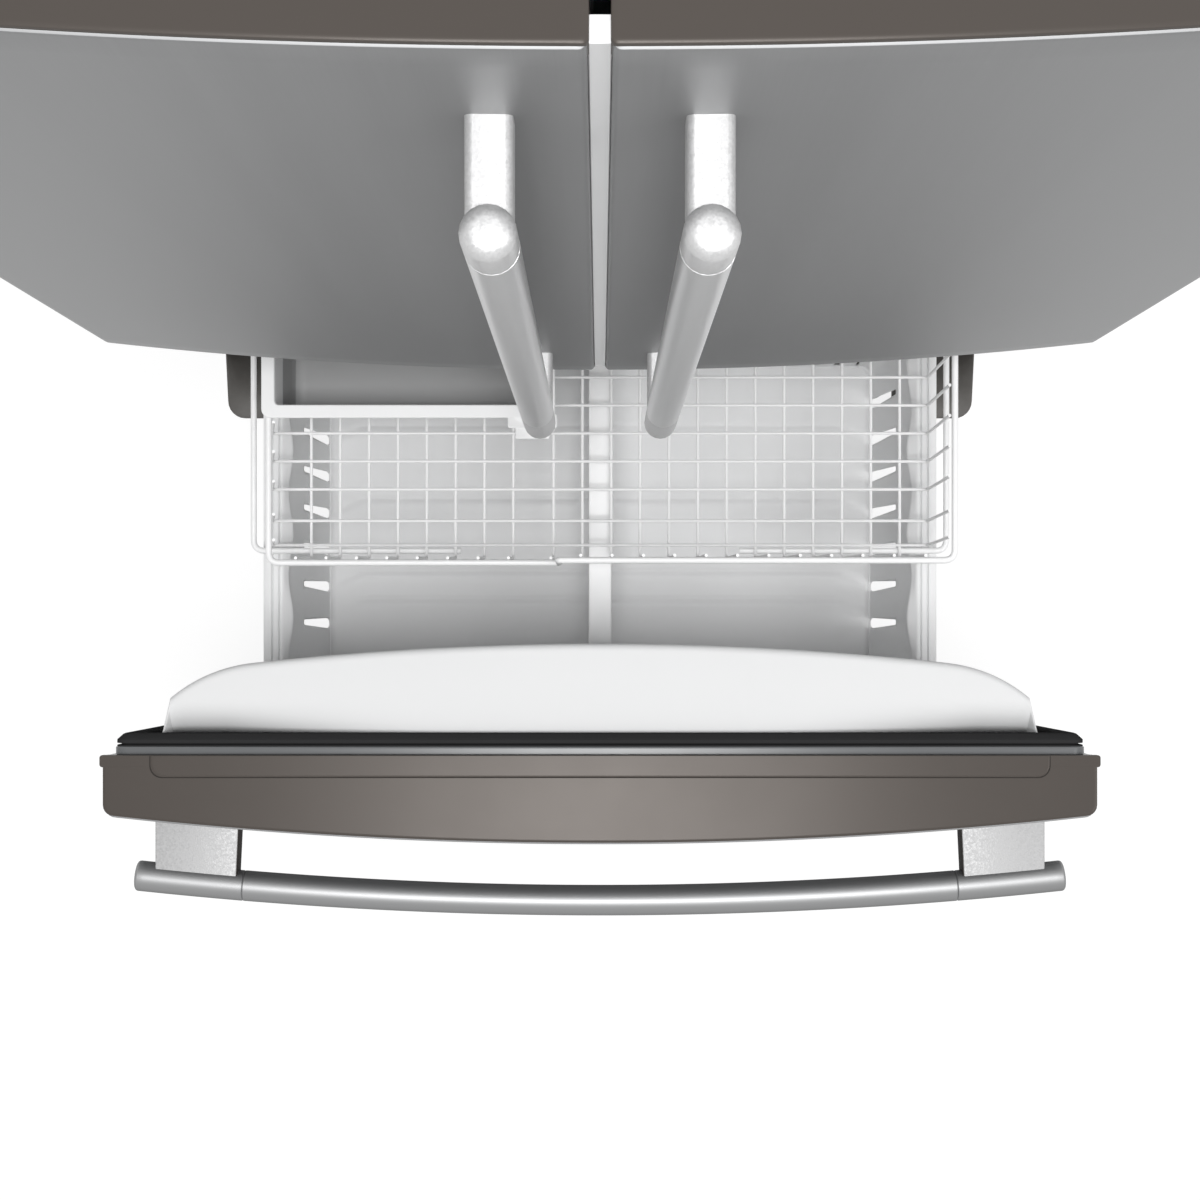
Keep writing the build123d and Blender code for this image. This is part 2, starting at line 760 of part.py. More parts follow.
# Shelf tracks: four upright slotted steel strips on the back of the liner.
track_outer = cavity_half - track_side_gap
track_half = 8.0
track_depth = 5.0
track_bottom = 1000.0
track_pitch = 30.0
track_slots = int((duct_top - track_bottom) // track_pitch) - 2
tracks = []
for x in (-track_outer, -track_centre_gap, track_centre_gap, track_outer):
    with BuildPart() as track:
        block(x - track_half, x + track_half, ledge_back - track_depth, ledge_back, track_bottom, duct_top)
        with BuildSketch(Plane.XZ.offset(-(ledge_back - track_depth))):
            with Locations((x, (track_bottom + duct_top) / 2)):
                with GridLocations(1, track_pitch, 1, track_slots):
                    SlotOverall(16, 5, rotation=90)
        extrude(amount=-3, mode=Mode.SUBTRACT)
    tracks.append(track.part)
pieces["shelf_tracks"] = group(*tracks)

# Shelves: a glass plate lying in a plastic frame, with two arms that reach back to the tracks.
shelf_front = case_front + shelf_setback
cover_shelf_front = shelf_front - 14
cover_shelf_back = ledge_back - 6
shelf_back = ledge_back - shelf_back_room
glass_rest = 5.0
arm_half = 2.0
shelf_outer = cavity_half - shelf_side_gap
cover_shelf_half = cavity_half - still_gap
shelf_places = [
    (-cover_shelf_half, cover_shelf_half, crisper_cover_height, cover_shelf_front, cover_shelf_back, ()),
]
for z in left_shelves:
    arms = (-track_outer, -track_centre_gap)
    shelf_places.append((-shelf_outer, -shelf_centre_gap, z, shelf_front, shelf_back, arms))
for z in right_shelves:
    arms = (track_centre_gap, track_outer)
    shelf_places.append((shelf_centre_gap, shelf_outer, z, shelf_front, shelf_back, arms))
frames = []
plates = []
for x0, x1, top, front, back, arms in shelf_places:
    with BuildPart() as frame:
        block(x0, x1, front, back, top - frame_height, top)
        block(
            x0 + glass_rest, x1 - glass_rest, front + glass_rest, back - glass_rest,
            top - glass - still_gap, top + 1, Mode.SUBTRACT,
        )
        block(
            x0 + frame_width, x1 - frame_width, front + frame_width, back - frame_width,
            top - frame_height - 1, top, Mode.SUBTRACT,
        )
        for x in arms:
            block(
                x - arm_half, x + arm_half, back, ledge_back - track_depth - still_gap,
                top - frame_height, top - glass,
            )
    frames.append(frame.part)
    rest = glass_rest + still_gap
    plates.append(solid_block(
        x0 + rest, x1 - rest, front + rest, back - rest, top - glass - still_gap, top - still_gap,
    ))
crisper_front = case_front + crisper_setback
crisper_back = ledge_back - crisper_back_room
crisper_length = crisper_back - crisper_front
frames.append(solid_block(
    -crisper_centre_gap + 3, crisper_centre_gap - 3, crisper_front + 6, crisper_back,
    fresh_floor, crisper_cover_height - frame_height,
))
pieces["shelf_frames"] = group(*frames)
pieces["shelf_glass"] = group(*plates)

# Crisper drawers: two clear tubs side by side on the floor of the fresh food space.
crisper_outer = cavity_half - crisper_side_gap
crisper_width = crisper_outer - crisper_centre_gap
for side, name in ((-1, "left_crisper"), (1, "right_crisper")):
    centre = (side * (crisper_outer + crisper_centre_gap) / 2, crisper_front + crisper_length / 2)
    with BuildPart() as crisper:
        add(tub(
            (crisper_width - crisper_taper, crisper_length - crisper_taper), (crisper_width, crisper_length),
            centre, centre, fresh_floor + slide_gap, fresh_floor + crisper_height, liner_wall, crisper_corner,
        ))
        block(
            centre[0] - 60, centre[0] + 60, crisper_front - 14, crisper_front + 2,
            fresh_floor + crisper_height - 22, fresh_floor + crisper_height - 8,
        )
    pieces[name] = crisper.part

# Ice maker: a trough with a motor head, hung from the ceiling of the freezer.
maker_left = -cavity_half + 79
maker_right = maker_left + 234
maker_back = cover_front - 118
maker_front = maker_back - 230
maker_bottom = freezer_ceiling - 79
arm_radius = 2.0
arm_pivot_z = freezer_ceiling - 29
arm_x = maker_right + 9
ear_depth = 12.0
arm_drop = 92.0
with BuildPart() as ice_maker:
    block(maker_left, maker_right, maker_front, maker_back, maker_bottom, freezer_ceiling - 9)
    fillet(ice_maker.edges().filter_by(Axis.Y).group_by(Axis.Z)[0], radius=24)
    block(
        maker_left + 20, maker_right - 20, maker_front + 50, maker_back - 14,
        maker_bottom + 26, freezer_ceiling, Mode.SUBTRACT,
    )
    for y in (maker_front + 10, maker_back - 22):
        block(maker_left + 30, maker_right - 30, y, y + 12, freezer_ceiling - 12, freezer_ceiling)
    for y in (maker_front + 14, maker_back - 26):
        block(maker_right - 1, arm_x + 7, y, y + ear_depth, arm_pivot_z - 7, arm_pivot_z + 7)
    with Locations((arm_x, (maker_front + maker_back) / 2, arm_pivot_z)):
        Cylinder(
            arm_radius + bearing_gap, maker_back - maker_front, rotation=(90, 0, 0), mode=Mode.SUBTRACT,
        )
pieces["ice_maker"] = ice_maker.part

# Feeler arm: a cranked wire whose ends turn in the two ears on the side of the ice maker.
with BuildPart() as feeler_arm:
    with BuildLine():
        FilletPolyline(
            (arm_x, maker_front + 10, arm_pivot_z),
            (arm_x, maker_front + 40, arm_pivot_z),
            (arm_x, maker_front + 40, arm_pivot_z - arm_drop),
            (arm_x, maker_back - 40, arm_pivot_z - arm_drop),
            (arm_x, maker_back - 40, arm_pivot_z),
            (arm_x, maker_back - 10, arm_pivot_z),
            radius=5,
        )
    with BuildSketch(Plane((arm_x, maker_front + 10, arm_pivot_z), z_dir=(0, 1, 0))):
        Circle(arm_radius)
    sweep()
pieces["feeler_arm"] = feeler_arm.part

# Hinge brackets: a plate with its pin at each top corner, held by three screws, and another at the
# split between door and drawer.
pin_x = front_half - pin_inset
pin_y = slab_back - pin_setback
bracket_sheet = 4.0
bracket_inward = 45.0
bracket_outward = 16.0
top_plate_back = case_front + 110
screw_head = 9.0
brackets = []
for side in (-1, 1):
    x0, x1 = sorted((side * (pin_x - bracket_inward), side * (pin_x + bracket_outward)))
    with BuildPart() as top_bracket:
        block(x0, x1, pin_y - bracket_outward, top_plate_back, case_top, case_top + bracket_sheet)
        fillet(top_bracket.edges().filter_by(Axis.Z), radius=8)
        upright(side * pin_x, pin_y, door_top - pin_length, case_top, pin_diameter)
    brackets.append(top_bracket.part)
    with BuildPart() as middle_bracket:
        plate_top = split_height + bracket_sheet / 2
        block(x0, x1, pin_y - bracket_outward, case_front, split_height - bracket_sheet / 2, plate_top)
        block(x0, x1, case_front - 3, case_front, split_height - 10, split_height + 10)
        fillet(middle_bracket.edges().filter_by(Axis.Z).group_by(Axis.Y)[0], radius=8)
        upright(side * pin_x, pin_y, plate_top, door_bottom + pin_length, pin_diameter)
    brackets.append(middle_bracket.part)
    for dx, setback in ((-30, 75), (4, 75), (-30, 42)):
        with BuildPart() as screw:
            upright(
                side * (pin_x + dx), case_front + setback,
                case_top + bracket_sheet, case_top + bracket_sheet + 3, screw_head,
            )
            fillet(screw.faces().sort_by(Axis.Z)[-1].edges(), radius=1)
        brackets.append(screw.part)
pieces["hinge_brackets"] = group(*brackets)

# Hinge covers: hollow plastic boxes over the top brackets.
cover_height = 38.0
cover_shell = 6.0
cover_inward = 75.0
covers = []
for side in (-1, 1):
    x0, x1 = sorted((side * (pin_x - cover_inward), side * (case_half - 1)))
    with BuildPart() as hinge_cover:
        block(
            x0, x1, pin_y - 20, top_plate_back + 14,
            case_top + bracket_sheet + still_gap, case_top + cover_height,
        )
        fillet(hinge_cover.edges().filter_by(Axis.Z), radius=14)
        fillet(hinge_cover.faces().sort_by(Axis.Z)[-1].edges(), radius=6)
        block(
            x0 + cover_shell, x1 - cover_shell, pin_y - 20 + cover_shell, top_plate_back + 14 - cover_shell,
            case_top, case_top + cover_height - cover_shell, Mode.SUBTRACT,
        )
        foot_x = sorted((side * (pin_x - cover_inward), side * (pin_x - bracket_inward - 2)))
        block(
            foot_x[0] + 4, foot_x[1] - 4, case_front + 20, top_plate_back,
            case_top, case_top + cover_height - cover_shell + 1,
        )
    covers.append(hinge_cover.part)
pieces["hinge_covers"] = group(*covers)

# Fixed slide members on the side walls of the lower freezer space.
slide_top = slide_bottom + slide_height
member_pitch = slide_thickness + slide_gap
slide_start = case_front + mouth_depth + 4


def slide_member(side, order, front, top):
    """One channel section member. order counts from the wall, and front is the y of its front end."""
    outer = slide_half - order * member_pitch
    inner = outer - slide_thickness
    x0, x1 = sorted((side * outer, side * inner))
    lip0, lip1 = sorted((side * (outer - slide_web), side * (inner - 1)))
    with BuildPart() as member:
        block(x0, x1, front, front + slide_length, slide_bottom, top)
        block(
            lip0, lip1, front - 1, front + slide_length + 1,
            slide_bottom + slide_web, top - slide_web, Mode.SUBTRACT,
        )
    return member.part


pieces["slide_fixed"] = group(*[slide_member(side, 0, slide_start, slide_top) for side in (-1, 1)])
middle_front = slide_start - drawer_travel / 2
pieces["slide_middle"] = group(*[slide_member(side, 1, middle_front, slide_top) for side in (-1, 1)])

# Upper doors. The hinge side is the outer edge, and the left door carries the folding mullion.
gasket_back = flange_back + gasket_depth
tray_inset = 10.0
rib_top = door_top - rib_drop
first_bin = rib_bottom + door_bin_rise
door_bin_pitch = (rib_top - door_bin_headroom - first_bin) / 2
door_bin_levels = (first_bin, first_bin + door_bin_pitch, first_bin + 2 * door_bin_pitch)
door_bar_top = door_top - door_bar_drop


def door_pieces(side):
    """Every piece of one upper door. side is -1 for the left door and +1 for the right door."""
    left, right = sorted((side * front_half, side * door_gap / 2))
    corners = (slab_corner, slab_corner / 2) if side < 0 else (slab_corner / 2, slab_corner)
    inner_edge = side * (door_gap / 2 + 5)
    outer_edge = side * (front_half - flange_inset)
    f0, f1 = sorted((inner_edge, outer_edge))
    g0, g1 = sorted((inner_edge, side * pin_x))
    low = door_bottom + tray_inset
    high = door_top - tray_inset

    skin = slab_skin(left, right, door_bottom + cap_lip, door_top - cap_lip, slab_back, *corners)
    foam = group(
        slab(
            left + sheet, right - sheet, door_bottom + cap_depth, door_top - cap_depth,
            slab_back, sheet, corners[0] - sheet, corners[1] - sheet,
        ),
        solid_block(
            f0 + liner_wall, f1 - liner_wall, slab_back, flange_back - liner_wall,
            low + liner_wall, high - liner_wall,
        ),
    )
    with BuildPart() as bottom_cap:
        add(slab_cap(left, right, door_bottom, 1, slab_back, *corners))
        upright(
            side * pin_x, pin_y, door_bottom - 1, door_bottom + pin_length + 1,
            pin_diameter + 2 * bearing_gap, Mode.SUBTRACT,
        )
    with BuildPart() as top_cap:
        add(slab_cap(left, right, door_top, -1, slab_back, *corners))
        upright(
            side * pin_x, pin_y, door_top - pin_length - 1, door_top + 1,
            pin_diameter + 2 * bearing_gap, Mode.SUBTRACT,
        )

    with BuildPart() as liner_tray:
        block(f0, f1, slab_back, flange_back, low, high)
        block(
            f0 + liner_wall, f1 - liner_wall, slab_back - 1, flange_back - liner_wall,
            low + liner_wall, high - liner_wall, Mode.SUBTRACT,
        )
    outer_rib = side * (front_half - rib_inset)
    inner_rib = side * (door_gap / 2 + mullion_width + rib_from_mullion)
    r0, r1 = sorted((outer_rib, inner_rib))
    ribs = [
        solid_block(r0, r0 + rib_wall, flange_back, flange_back + rib_depth, rib_bottom, rib_top),
        solid_block(r1 - rib_wall, r1, flange_back, flange_back + rib_depth, rib_bottom, rib_top),
    ]
    liner = group(liner_tray.part, *ribs)

    gasket = ring(g0, g1, flange_back, gasket_back, low, high, gasket_width)

    bar_x = side * door_bar_offset
    bar_y = front_at(bar_x, 0, 0) - bar_reach
    with BuildPart() as bar:
        upright(bar_x, bar_y, door_bar_bottom, door_bar_top, door_bar_diameter)
        fillet(bar.edges(), radius=3)
    standoffs = []
    for z in (door_bar_bottom + standoff_inset, door_bar_top - standoff_inset - standoff_height):
        with BuildPart() as standoff:
            block(
                bar_x - standoff_width / 2, bar_x + standoff_width / 2, bar_y, slab_back - slab_side_depth,
                z, z + standoff_height,
            )
            upright(bar_x, bar_y, z - 1, z + standoff_height + 1, door_bar_diameter, Mode.SUBTRACT)
            add(slab(left, right, z - 1, z + standoff_height + 1, slab_back, 0.0, *corners), mode=Mode.SUBTRACT)
        standoffs.append(standoff.part)
    handle = group(bar.part, *standoffs)

    bin_width = r1 - r0 - 2 * rib_wall - 2 * still_gap
    bin_centre = ((r0 + r1) / 2, flange_back + still_gap + door_bin_depth / 2)
    bins = [
        tub(
            (bin_width, door_bin_depth - door_bin_taper), (bin_width, door_bin_depth),
            (bin_centre[0], bin_centre[1] - door_bin_taper / 2), bin_centre,
            z, z + door_bin_height, door_bin_wall, 10.0,
        )
        for z in door_bin_levels
    ]
    return {
        "skin": skin,
        "insulation": foam,
        "caps": group(bottom_cap.part, top_cap.part),
        "liner": liner,
        "gasket": gasket,
        "handle": handle,
        "bins": group(*bins),
    }


for side, word in ((-1, "left"), (1, "right")):
    for kind, shape in door_pieces(side).items():
        pieces[f"{word}_door_{kind}"] = shape

# Folding mullion: an upright bar behind the free edge of the left door, which folds as the door opens.
mullion_right = -(door_gap / 2 - mullion_inset)
with BuildPart() as door_mullion:
    block(
        mullion_right - mullion_width, mullion_right, gasket_back + still_gap,
        gasket_back + still_gap + mullion_depth,
        fresh_floor + mullion_end_gap, fresh_ceiling - mullion_end_gap,
    )
    fillet(door_mullion.edges().filter_by(Axis.Z), radius=mullion_corner)
pieces["door_mullion"] = door_mullion.part

# Freezer drawer front, drawn where it stands when it is pulled out.
drawer_back = slab_back - drawer_travel
drawer_flange_back = drawer_back + flange_depth
drawer_seal = drawer_flange_back + gasket_depth
drawer_corners = (slab_corner, slab_corner)
pieces["drawer_skin"] = slab_skin(
    -front_half, front_half, drawer_bottom + cap_lip, drawer_top - cap_lip,
    drawer_back, *drawer_corners, drawer_travel,
)
pieces["drawer_caps"] = group(
    slab_cap(-front_half, front_half, drawer_bottom, 1, drawer_back, *drawer_corners, drawer_travel),
    slab_cap(-front_half, front_half, drawer_top, -1, drawer_back, *drawer_corners, drawer_travel),
)


def bulge(inset, bottom, top, start):
    """The part of the drawer liner that swells into the freezer: a bowed back that bends more sharply near both ends."""
    half = drawer_bulge_width / 2 - inset
    tip = half - drawer_bulge_taper
    bow = drawer_bulge_radius - inset
    end_bow = drawer_bulge_end_radius - inset
    middle_y = drawer_seal + drawer_bulge_depth - drawer_bulge_radius
    turn = asin(drawer_bulge_bend / drawer_bulge_radius)
    gap = drawer_bulge_radius - drawer_bulge_end_radius
    end_x = gap * sin(turn)
    end_y = middle_y + gap * cos(turn)
    tip_turn = asin((tip - end_x) / end_bow)
    between = (turn + tip_turn) / 2
    join = (bow * sin(turn), middle_y + bow * cos(turn))
    bend = (end_x + end_bow * sin(between), end_y + end_bow * cos(between))
    corner = (tip, end_y + end_bow * cos(tip_turn))
    with BuildPart() as piece:
        with BuildSketch(Plane.XY.offset(bottom)):
            with BuildLine():
                Line((-half, start), (-corner[0], corner[1]))
                ThreePointArc((-corner[0], corner[1]), (-bend[0], bend[1]), (-join[0], join[1]))
                ThreePointArc((-join[0], join[1]), (0, middle_y + bow), join)
                ThreePointArc(join, bend, corner)
                Line(corner, (half, start))
                Line((half, start), (-half, start))
            make_face()
        extrude(amount=top - bottom)
    return piece.part


tray_half = front_half - flange_inset
tray_bottom = drawer_bottom + tray_inset
tray_top = drawer_top - tray_inset
pieces["drawer_insulation"] = group(
    slab(
        -front_half + sheet, front_half - sheet, drawer_bottom + cap_depth, drawer_top - cap_depth,
        drawer_back, sheet, slab_corner - sheet, slab_corner - sheet, drawer_travel,
    ),
    solid_block(
        -tray_half + liner_wall, tray_half - liner_wall, drawer_back, drawer_flange_back - liner_wall,
        tray_bottom + liner_wall, tray_top - liner_wall,
    ),
    bulge(
        liner_wall, drawer_bulge_bottom + liner_wall, drawer_bulge_top - liner_wall,
        drawer_flange_back - liner_wall,
    ),
)
with BuildPart() as drawer_liner:
    block(-tray_half, tray_half, drawer_back, drawer_flange_back, tray_bottom, tray_top)
    add(bulge(0.0, drawer_bulge_bottom, drawer_bulge_top, drawer_flange_back))
    block(
        -tray_half + liner_wall, tray_half - liner_wall, drawer_back - 1, drawer_flange_back - liner_wall,
        tray_bottom + liner_wall, tray_top - liner_wall, Mode.SUBTRACT,
    )
    add(
        bulge(
            liner_wall, drawer_bulge_bottom + liner_wall, drawer_bulge_top - liner_wall,
            drawer_flange_back - liner_wall,
        ),
        mode=Mode.SUBTRACT,
    )
pieces["drawer_liner"] = drawer_liner.part
pieces["drawer_gasket"] = ring(
    -tray_half, tray_half, drawer_flange_back, drawer_seal, tray_bottom, tray_top, gasket_width,
)

# Drawer handle: a round bar bent to the same bow as the front, in three lengths.
bar_arc = front_radius + bar_reach
bar_centre = front_centre - drawer_travel
bracket_outer = front_half - bracket_inset
bracket_inner = bracket_outer - bracket_width
middle_half = bracket_inner - bracket_seam
bar_half = front_half - drawer_bar_inset


def on_bar(x):
    """Point on the centre line of the drawer's handle."""
    return (x, bar_centre - sqrt(bar_arc**2 - x**2), drawer_bar_height)


def bar_length(x0, x1):
    """A length of the bent bar between two x places."""
    with BuildPart() as piece:
        with BuildLine() as path:
            ThreePointArc(on_bar(x0), on_bar((x0 + x1) / 2), on_bar(x1))
        with BuildSketch(Plane(path.line @ 0, z_dir=path.line % 0)):
            Circle(drawer_bar_diameter / 2)
        sweep()
    return piece.part


pieces["drawer_handle"] = group(
    bar_length(-bar_half, -middle_half),
    bar_length(-middle_half, middle_half),
    bar_length(middle_half, bar_half),
)
handle_brackets = []
for side in (-1, 1):
    x0, x1 = sorted((side * bracket_outer, side * bracket_inner))
    with BuildPart() as handle_bracket:
        block(
            x0, x1, on_bar(bracket_inner)[1], front_at(x1, 0, drawer_travel) + 20,
            drawer_bar_height - bracket_height / 2, drawer_bar_height + bracket_height / 2,
        )
        add(bar_length(side * (bracket_inner - 20), side * (bracket_outer + 10)), mode=Mode.SUBTRACT)
        add(
            slab(
                -front_half, front_half, drawer_bar_height - 40, drawer_bar_height + 40,
                drawer_back, 0.0, *drawer_corners, drawer_travel,
            ),
            mode=Mode.SUBTRACT,
        )
    kept = handle_bracket.part.solids().sort_by(Axis.Y)[-1]
    handle_brackets.append(kept)
pieces["drawer_handle_brackets"] = group(*handle_brackets)

# Inner slide members: they carry the lower bin and reach forward to the back of the drawer front.
inner_front = drawer_seal + drawer_bulge_depth - 10
foot_thickness = 9.0
inner_members = []
for side in (-1, 1):
    outer = side * (slide_half - 2 * member_pitch)
    x0, x1 = sorted((outer, outer - side * foot_thickness))
    with BuildPart() as inner_member:
        add(slide_member(side, 2, inner_front, bin_rim))
        block(x0, x1, drawer_flange_back, inner_front + 4, slide_bottom, bin_rim)
    inner_members.append(inner_member.part)
pieces["slide_inner"] = group(*inner_members)

# Lower bin: a deep tub with sloping slotted sides, whose edge rests on the slides.
edge_half = slide_half - bin_edge_gap
bin_rim_width = 2 * (edge_half - bin_edge_width)
bin_floor_width = bin_rim_width - 2 * bin_side_slope
bin_rim_length = slide_cavity_depth - bin_back_room
bin_floor_length = bin_rim_length - bin_end_slope
bin_front = drawer_seal + bin_from_seal
bin_top_centre = bin_front + bin_edge_front + bin_rim_length / 2
bin_low_centre = bin_front + bin_edge_front + bin_front_slope + bin_floor_length / 2
flare_z = bin_rim - bin_flare_height
flare_width = bin_rim_width - 2 * bin_side_slope * bin_flare_share
flare_length = bin_rim_length - bin_end_slope * bin_flare_share
flare_centre = bin_top_centre + (bin_low_centre - bin_top_centre) * bin_flare_share
with BuildPart() as lower_bin:
    add(tub(
        (bin_floor_width, bin_floor_length), (flare_width, flare_length),
        (0, bin_low_centre), (0, flare_centre), bin_floor - bin_wall, flare_z, bin_wall, bin_corner,
    ))
    add(tub(
        (flare_width, flare_length), (bin_rim_width, bin_rim_length),
        (0, flare_centre), (0, bin_top_centre), flare_z, bin_rim, bin_wall, bin_corner, 0.0,
    ))
    with BuildSketch(Plane.XY.offset(bin_rim)):
        with Locations((0, bin_top_centre)):
            RectangleRounded(2 * edge_half, bin_rim_length + 2 * bin_edge_front, 12)
            RectangleRounded(
                bin_rim_width - 2 * bin_wall, bin_rim_length - 2 * bin_wall, bin_corner - bin_wall,
                mode=Mode.SUBTRACT,
            )
    extrude(amount=bin_edge)
    for side in (-1, 1):
        for index in range(slot_count):
            y = bin_low_centre + slot_shift + (index - (slot_count - 1) / 2) * slot_pitch
            x0, x1 = sorted((side * (bin_floor_width / 2 - 12), side * edge_half))
            block(
                x0, x1, y - slot_width / 2, y + slot_width / 2,
                bin_floor + slot_rise, bin_floor + slot_rise + slot_height, Mode.SUBTRACT,
            )
pieces["lower_bin"] = lower_bin.part

# Bin divider: a hollow wall across the lower bin that hooks over its front and back edges.
divider_low = bin_floor + 2
divider_top = bin_rim + bin_edge + slide_gap
hook = 3.0
front_rim = bin_top_centre - bin_rim_length / 2 + bin_wall + divider_clear
back_rim = bin_top_centre + bin_rim_length / 2 - bin_wall - divider_clear
front_flare = flare_centre - flare_length / 2 + bin_wall + divider_clear
back_flare = flare_centre + flare_length / 2 - bin_wall - divider_clear
front_low = bin_low_centre - bin_floor_length / 2 + bin_wall + divider_clear
back_low = bin_low_centre + bin_floor_length / 2 - bin_wall - divider_clear
with BuildPart() as bin_divider:
    with BuildSketch(Plane.YZ):
        Polygon(
            (front_low, divider_low), (back_low, divider_low), (back_flare, flare_z),
            (back_rim, divider_top), (front_rim, divider_top), (front_flare, flare_z),
            align=None,
        )
    extrude(amount=divider_width / 2, both=True)
    with BuildSketch(Plane.YZ):
        Polygon(
            (front_low + divider_wall, divider_low - 1), (back_low - divider_wall, divider_low - 1),
            (back_flare - divider_wall, flare_z), (back_rim - divider_wall, divider_top - 1),
            (front_rim + divider_wall, divider_top - 1), (front_flare + divider_wall, flare_z),
            align=None,
        )
    extrude(amount=divider_width / 2 - divider_wall, both=True, mode=Mode.SUBTRACT)
    hook_half = bin_rim_length / 2 + bin_edge_front
    block(
        -divider_width / 2, divider_width / 2, bin_top_centre - hook_half, bin_top_centre + hook_half,
        divider_top, divider_top + hook,
    )
pieces["bin_divider"] = bin_divider.part

# Upper basket: welded wire, drawn as flat nets of the same bars, on two bent runner rods.
basket_front = drawer_seal + basket_ahead
basket_length = cover_setback - basket_back_room
basket_back = basket_front + basket_length
basket_half = runner_half - basket_inside_runner
runner_z = ledge_height + slide_gap + rod / 2
net_bottom = runner_z + rod / 2
net_top = net_bottom + 2 * wire
left_wire_start = -basket_half + left_wire_margin
right_wire_start = left_wire_start + (left_wires - 1) * lengthwise_pitch + step_gap
right_wires = int((basket_half - right_wire_margin - right_wire_start) // lengthwise_pitch) + 1
split_x = right_wire_start - step_gap / 2
rim_step = right_wire_start + 10
low_rim_end = rim_step - 4 - wire
left_places = [left_wire_start + index * lengthwise_pitch for index in range(left_wires)]
right_places = [right_wire_start + index * lengthwise_pitch for index in range(right_wires)]
cross_count = int((basket_length - crosswise_start) // crosswise_pitch) + 1
cross_places = [0.0] + [crosswise_start + index * crosswise_pitch for index in range(cross_count)]
cross_places = [basket_front + place for place in cross_places]


def net(plane, across, up, thickness):
    """A flat net as one holed face: bars at the given places across and up, a wire wide, in plane."""
    gaps = {}
    for x0, x1 in zip(across, across[1:]):
        for y0, y1 in zip(up, up[1:]):
            size = (round(x1 - x0 - wire, 3), round(y1 - y0 - wire, 3))
            if min(size) > wire:
                gaps.setdefault(size, []).append(((x0 + x1) / 2, (y0 + y1) / 2))
    with BuildPart() as piece:
        with BuildSketch(plane):
            with Locations(((across[0] + across[-1]) / 2, (up[0] + up[-1]) / 2)):
                Rectangle(across[-1] - across[0] + wire, up[-1] - up[0] + wire)
            for size, centres in gaps.items():
                with Locations(*centres):
                    Rectangle(*size, mode=Mode.SUBTRACT)
        extrude(amount=thickness / 2, both=True)
    return piece.part


def straight_rod(start, end, diameter):
    """A straight round rod between two points."""
    with BuildPart() as piece:
        with BuildLine() as path:
            Line(start, end)
        with BuildSketch(Plane(start, z_dir=path.line % 0)):
            Circle(diameter / 2)
        sweep()
    return piece.part


floor_plane = Plane.XY.offset((net_bottom + net_top) / 2)
floor_left = [-basket_half] + left_places + [split_x - wire / 2]
floor_right = [split_x + wire / 2] + right_places + [basket_half]
basket_solids = [
    net(floor_plane, floor_left, cross_places, 2 * wire),
    net(floor_plane, floor_right, cross_places, 2 * wire),
]
wall_levels = 3


def levels(top):
    """Heights of the bars of a basket wall that starts on the floor and ends under its rim rod."""
    first = net_top + wire / 2
    last = top - rod / 2 - wire / 2
    return [first + index * (last - first) / wall_levels for index in range(wall_levels + 1)]


for y in (cross_places[0], cross_places[-1]):
    wall = Plane((0, y, 0), x_dir=(1, 0, 0), z_dir=(0, -1, 0))
    low_wall = net(wall, [-basket_half + low_rim_lean] + left_places + [low_rim_end], levels(low_rim), wire)
    high_wall = net(wall, [rim_step] + right_places[1:] + [basket_half - 2 * wire], levels(high_rim), wire)
    low_rod = straight_rod((-basket_half + low_rim_lean, y, low_rim), (low_rim_end, y, low_rim), rod)
    high_rod = straight_rod((rim_step, y, high_rim), (basket_half - 2 * wire, y, high_rim), rod)
    basket_solids += [low_wall, high_wall, low_rod, high_rod]
side_places = cross_places[1:-1]
right_wall = Plane((basket_half, 0, 0), x_dir=(0, 1, 0), z_dir=(1, 0, 0))
basket_solids.append(net(right_wall, [basket_front + 2 * wire] + side_places, levels(high_rim), wire))
basket_solids.append(
    straight_rod((basket_half, basket_front, high_rim), (basket_half, cross_places[-1], high_rim), rod)
)
lean_rise = low_rim - net_top
lean_length = sqrt(lean_rise**2 + low_rim_lean**2)
left_wall = Plane(
    (-basket_half, 0, net_top), x_dir=(0, 1, 0),
    z_dir=(lean_rise / lean_length, 0, -low_rim_lean / lean_length),
)
lean_first = wire / 2 + 0.5
lean_last = lean_length - rod / 2 - wire / 2 - still_gap
lean_levels = [
    lean_first + index * (lean_last - lean_first) / wall_levels for index in range(wall_levels + 1)
]
basket_solids.append(net(left_wall, [basket_front + 2 * wire] + side_places, lean_levels, wire))
basket_solids.append(straight_rod(
    (-basket_half + low_rim_lean, basket_front + rod / 2 + still_gap, low_rim),
    (-basket_half + low_rim_lean, cross_places[-1] - rod / 2 - still_gap, low_rim), rod,
))
for side in (-1, 1):
    rod_x = side * runner_half
    return_x = side * (runner_half - runner_return)
    with BuildPart() as runner:
        with BuildLine() as runner_path:
            FilletPolyline(
                (return_x, basket_front + runner_ahead, runner_z),
                (rod_x, basket_front + runner_ahead, runner_z),
                (rod_x, basket_back, runner_z),
                radius=runner_bend,
            )
        with BuildSketch(Plane(runner_path.line @ 0, z_dir=runner_path.line % 0)):
            Circle(rod / 2)
        sweep()
    basket_solids.append(runner.part)
pieces["upper_basket"] = group(*basket_solids)

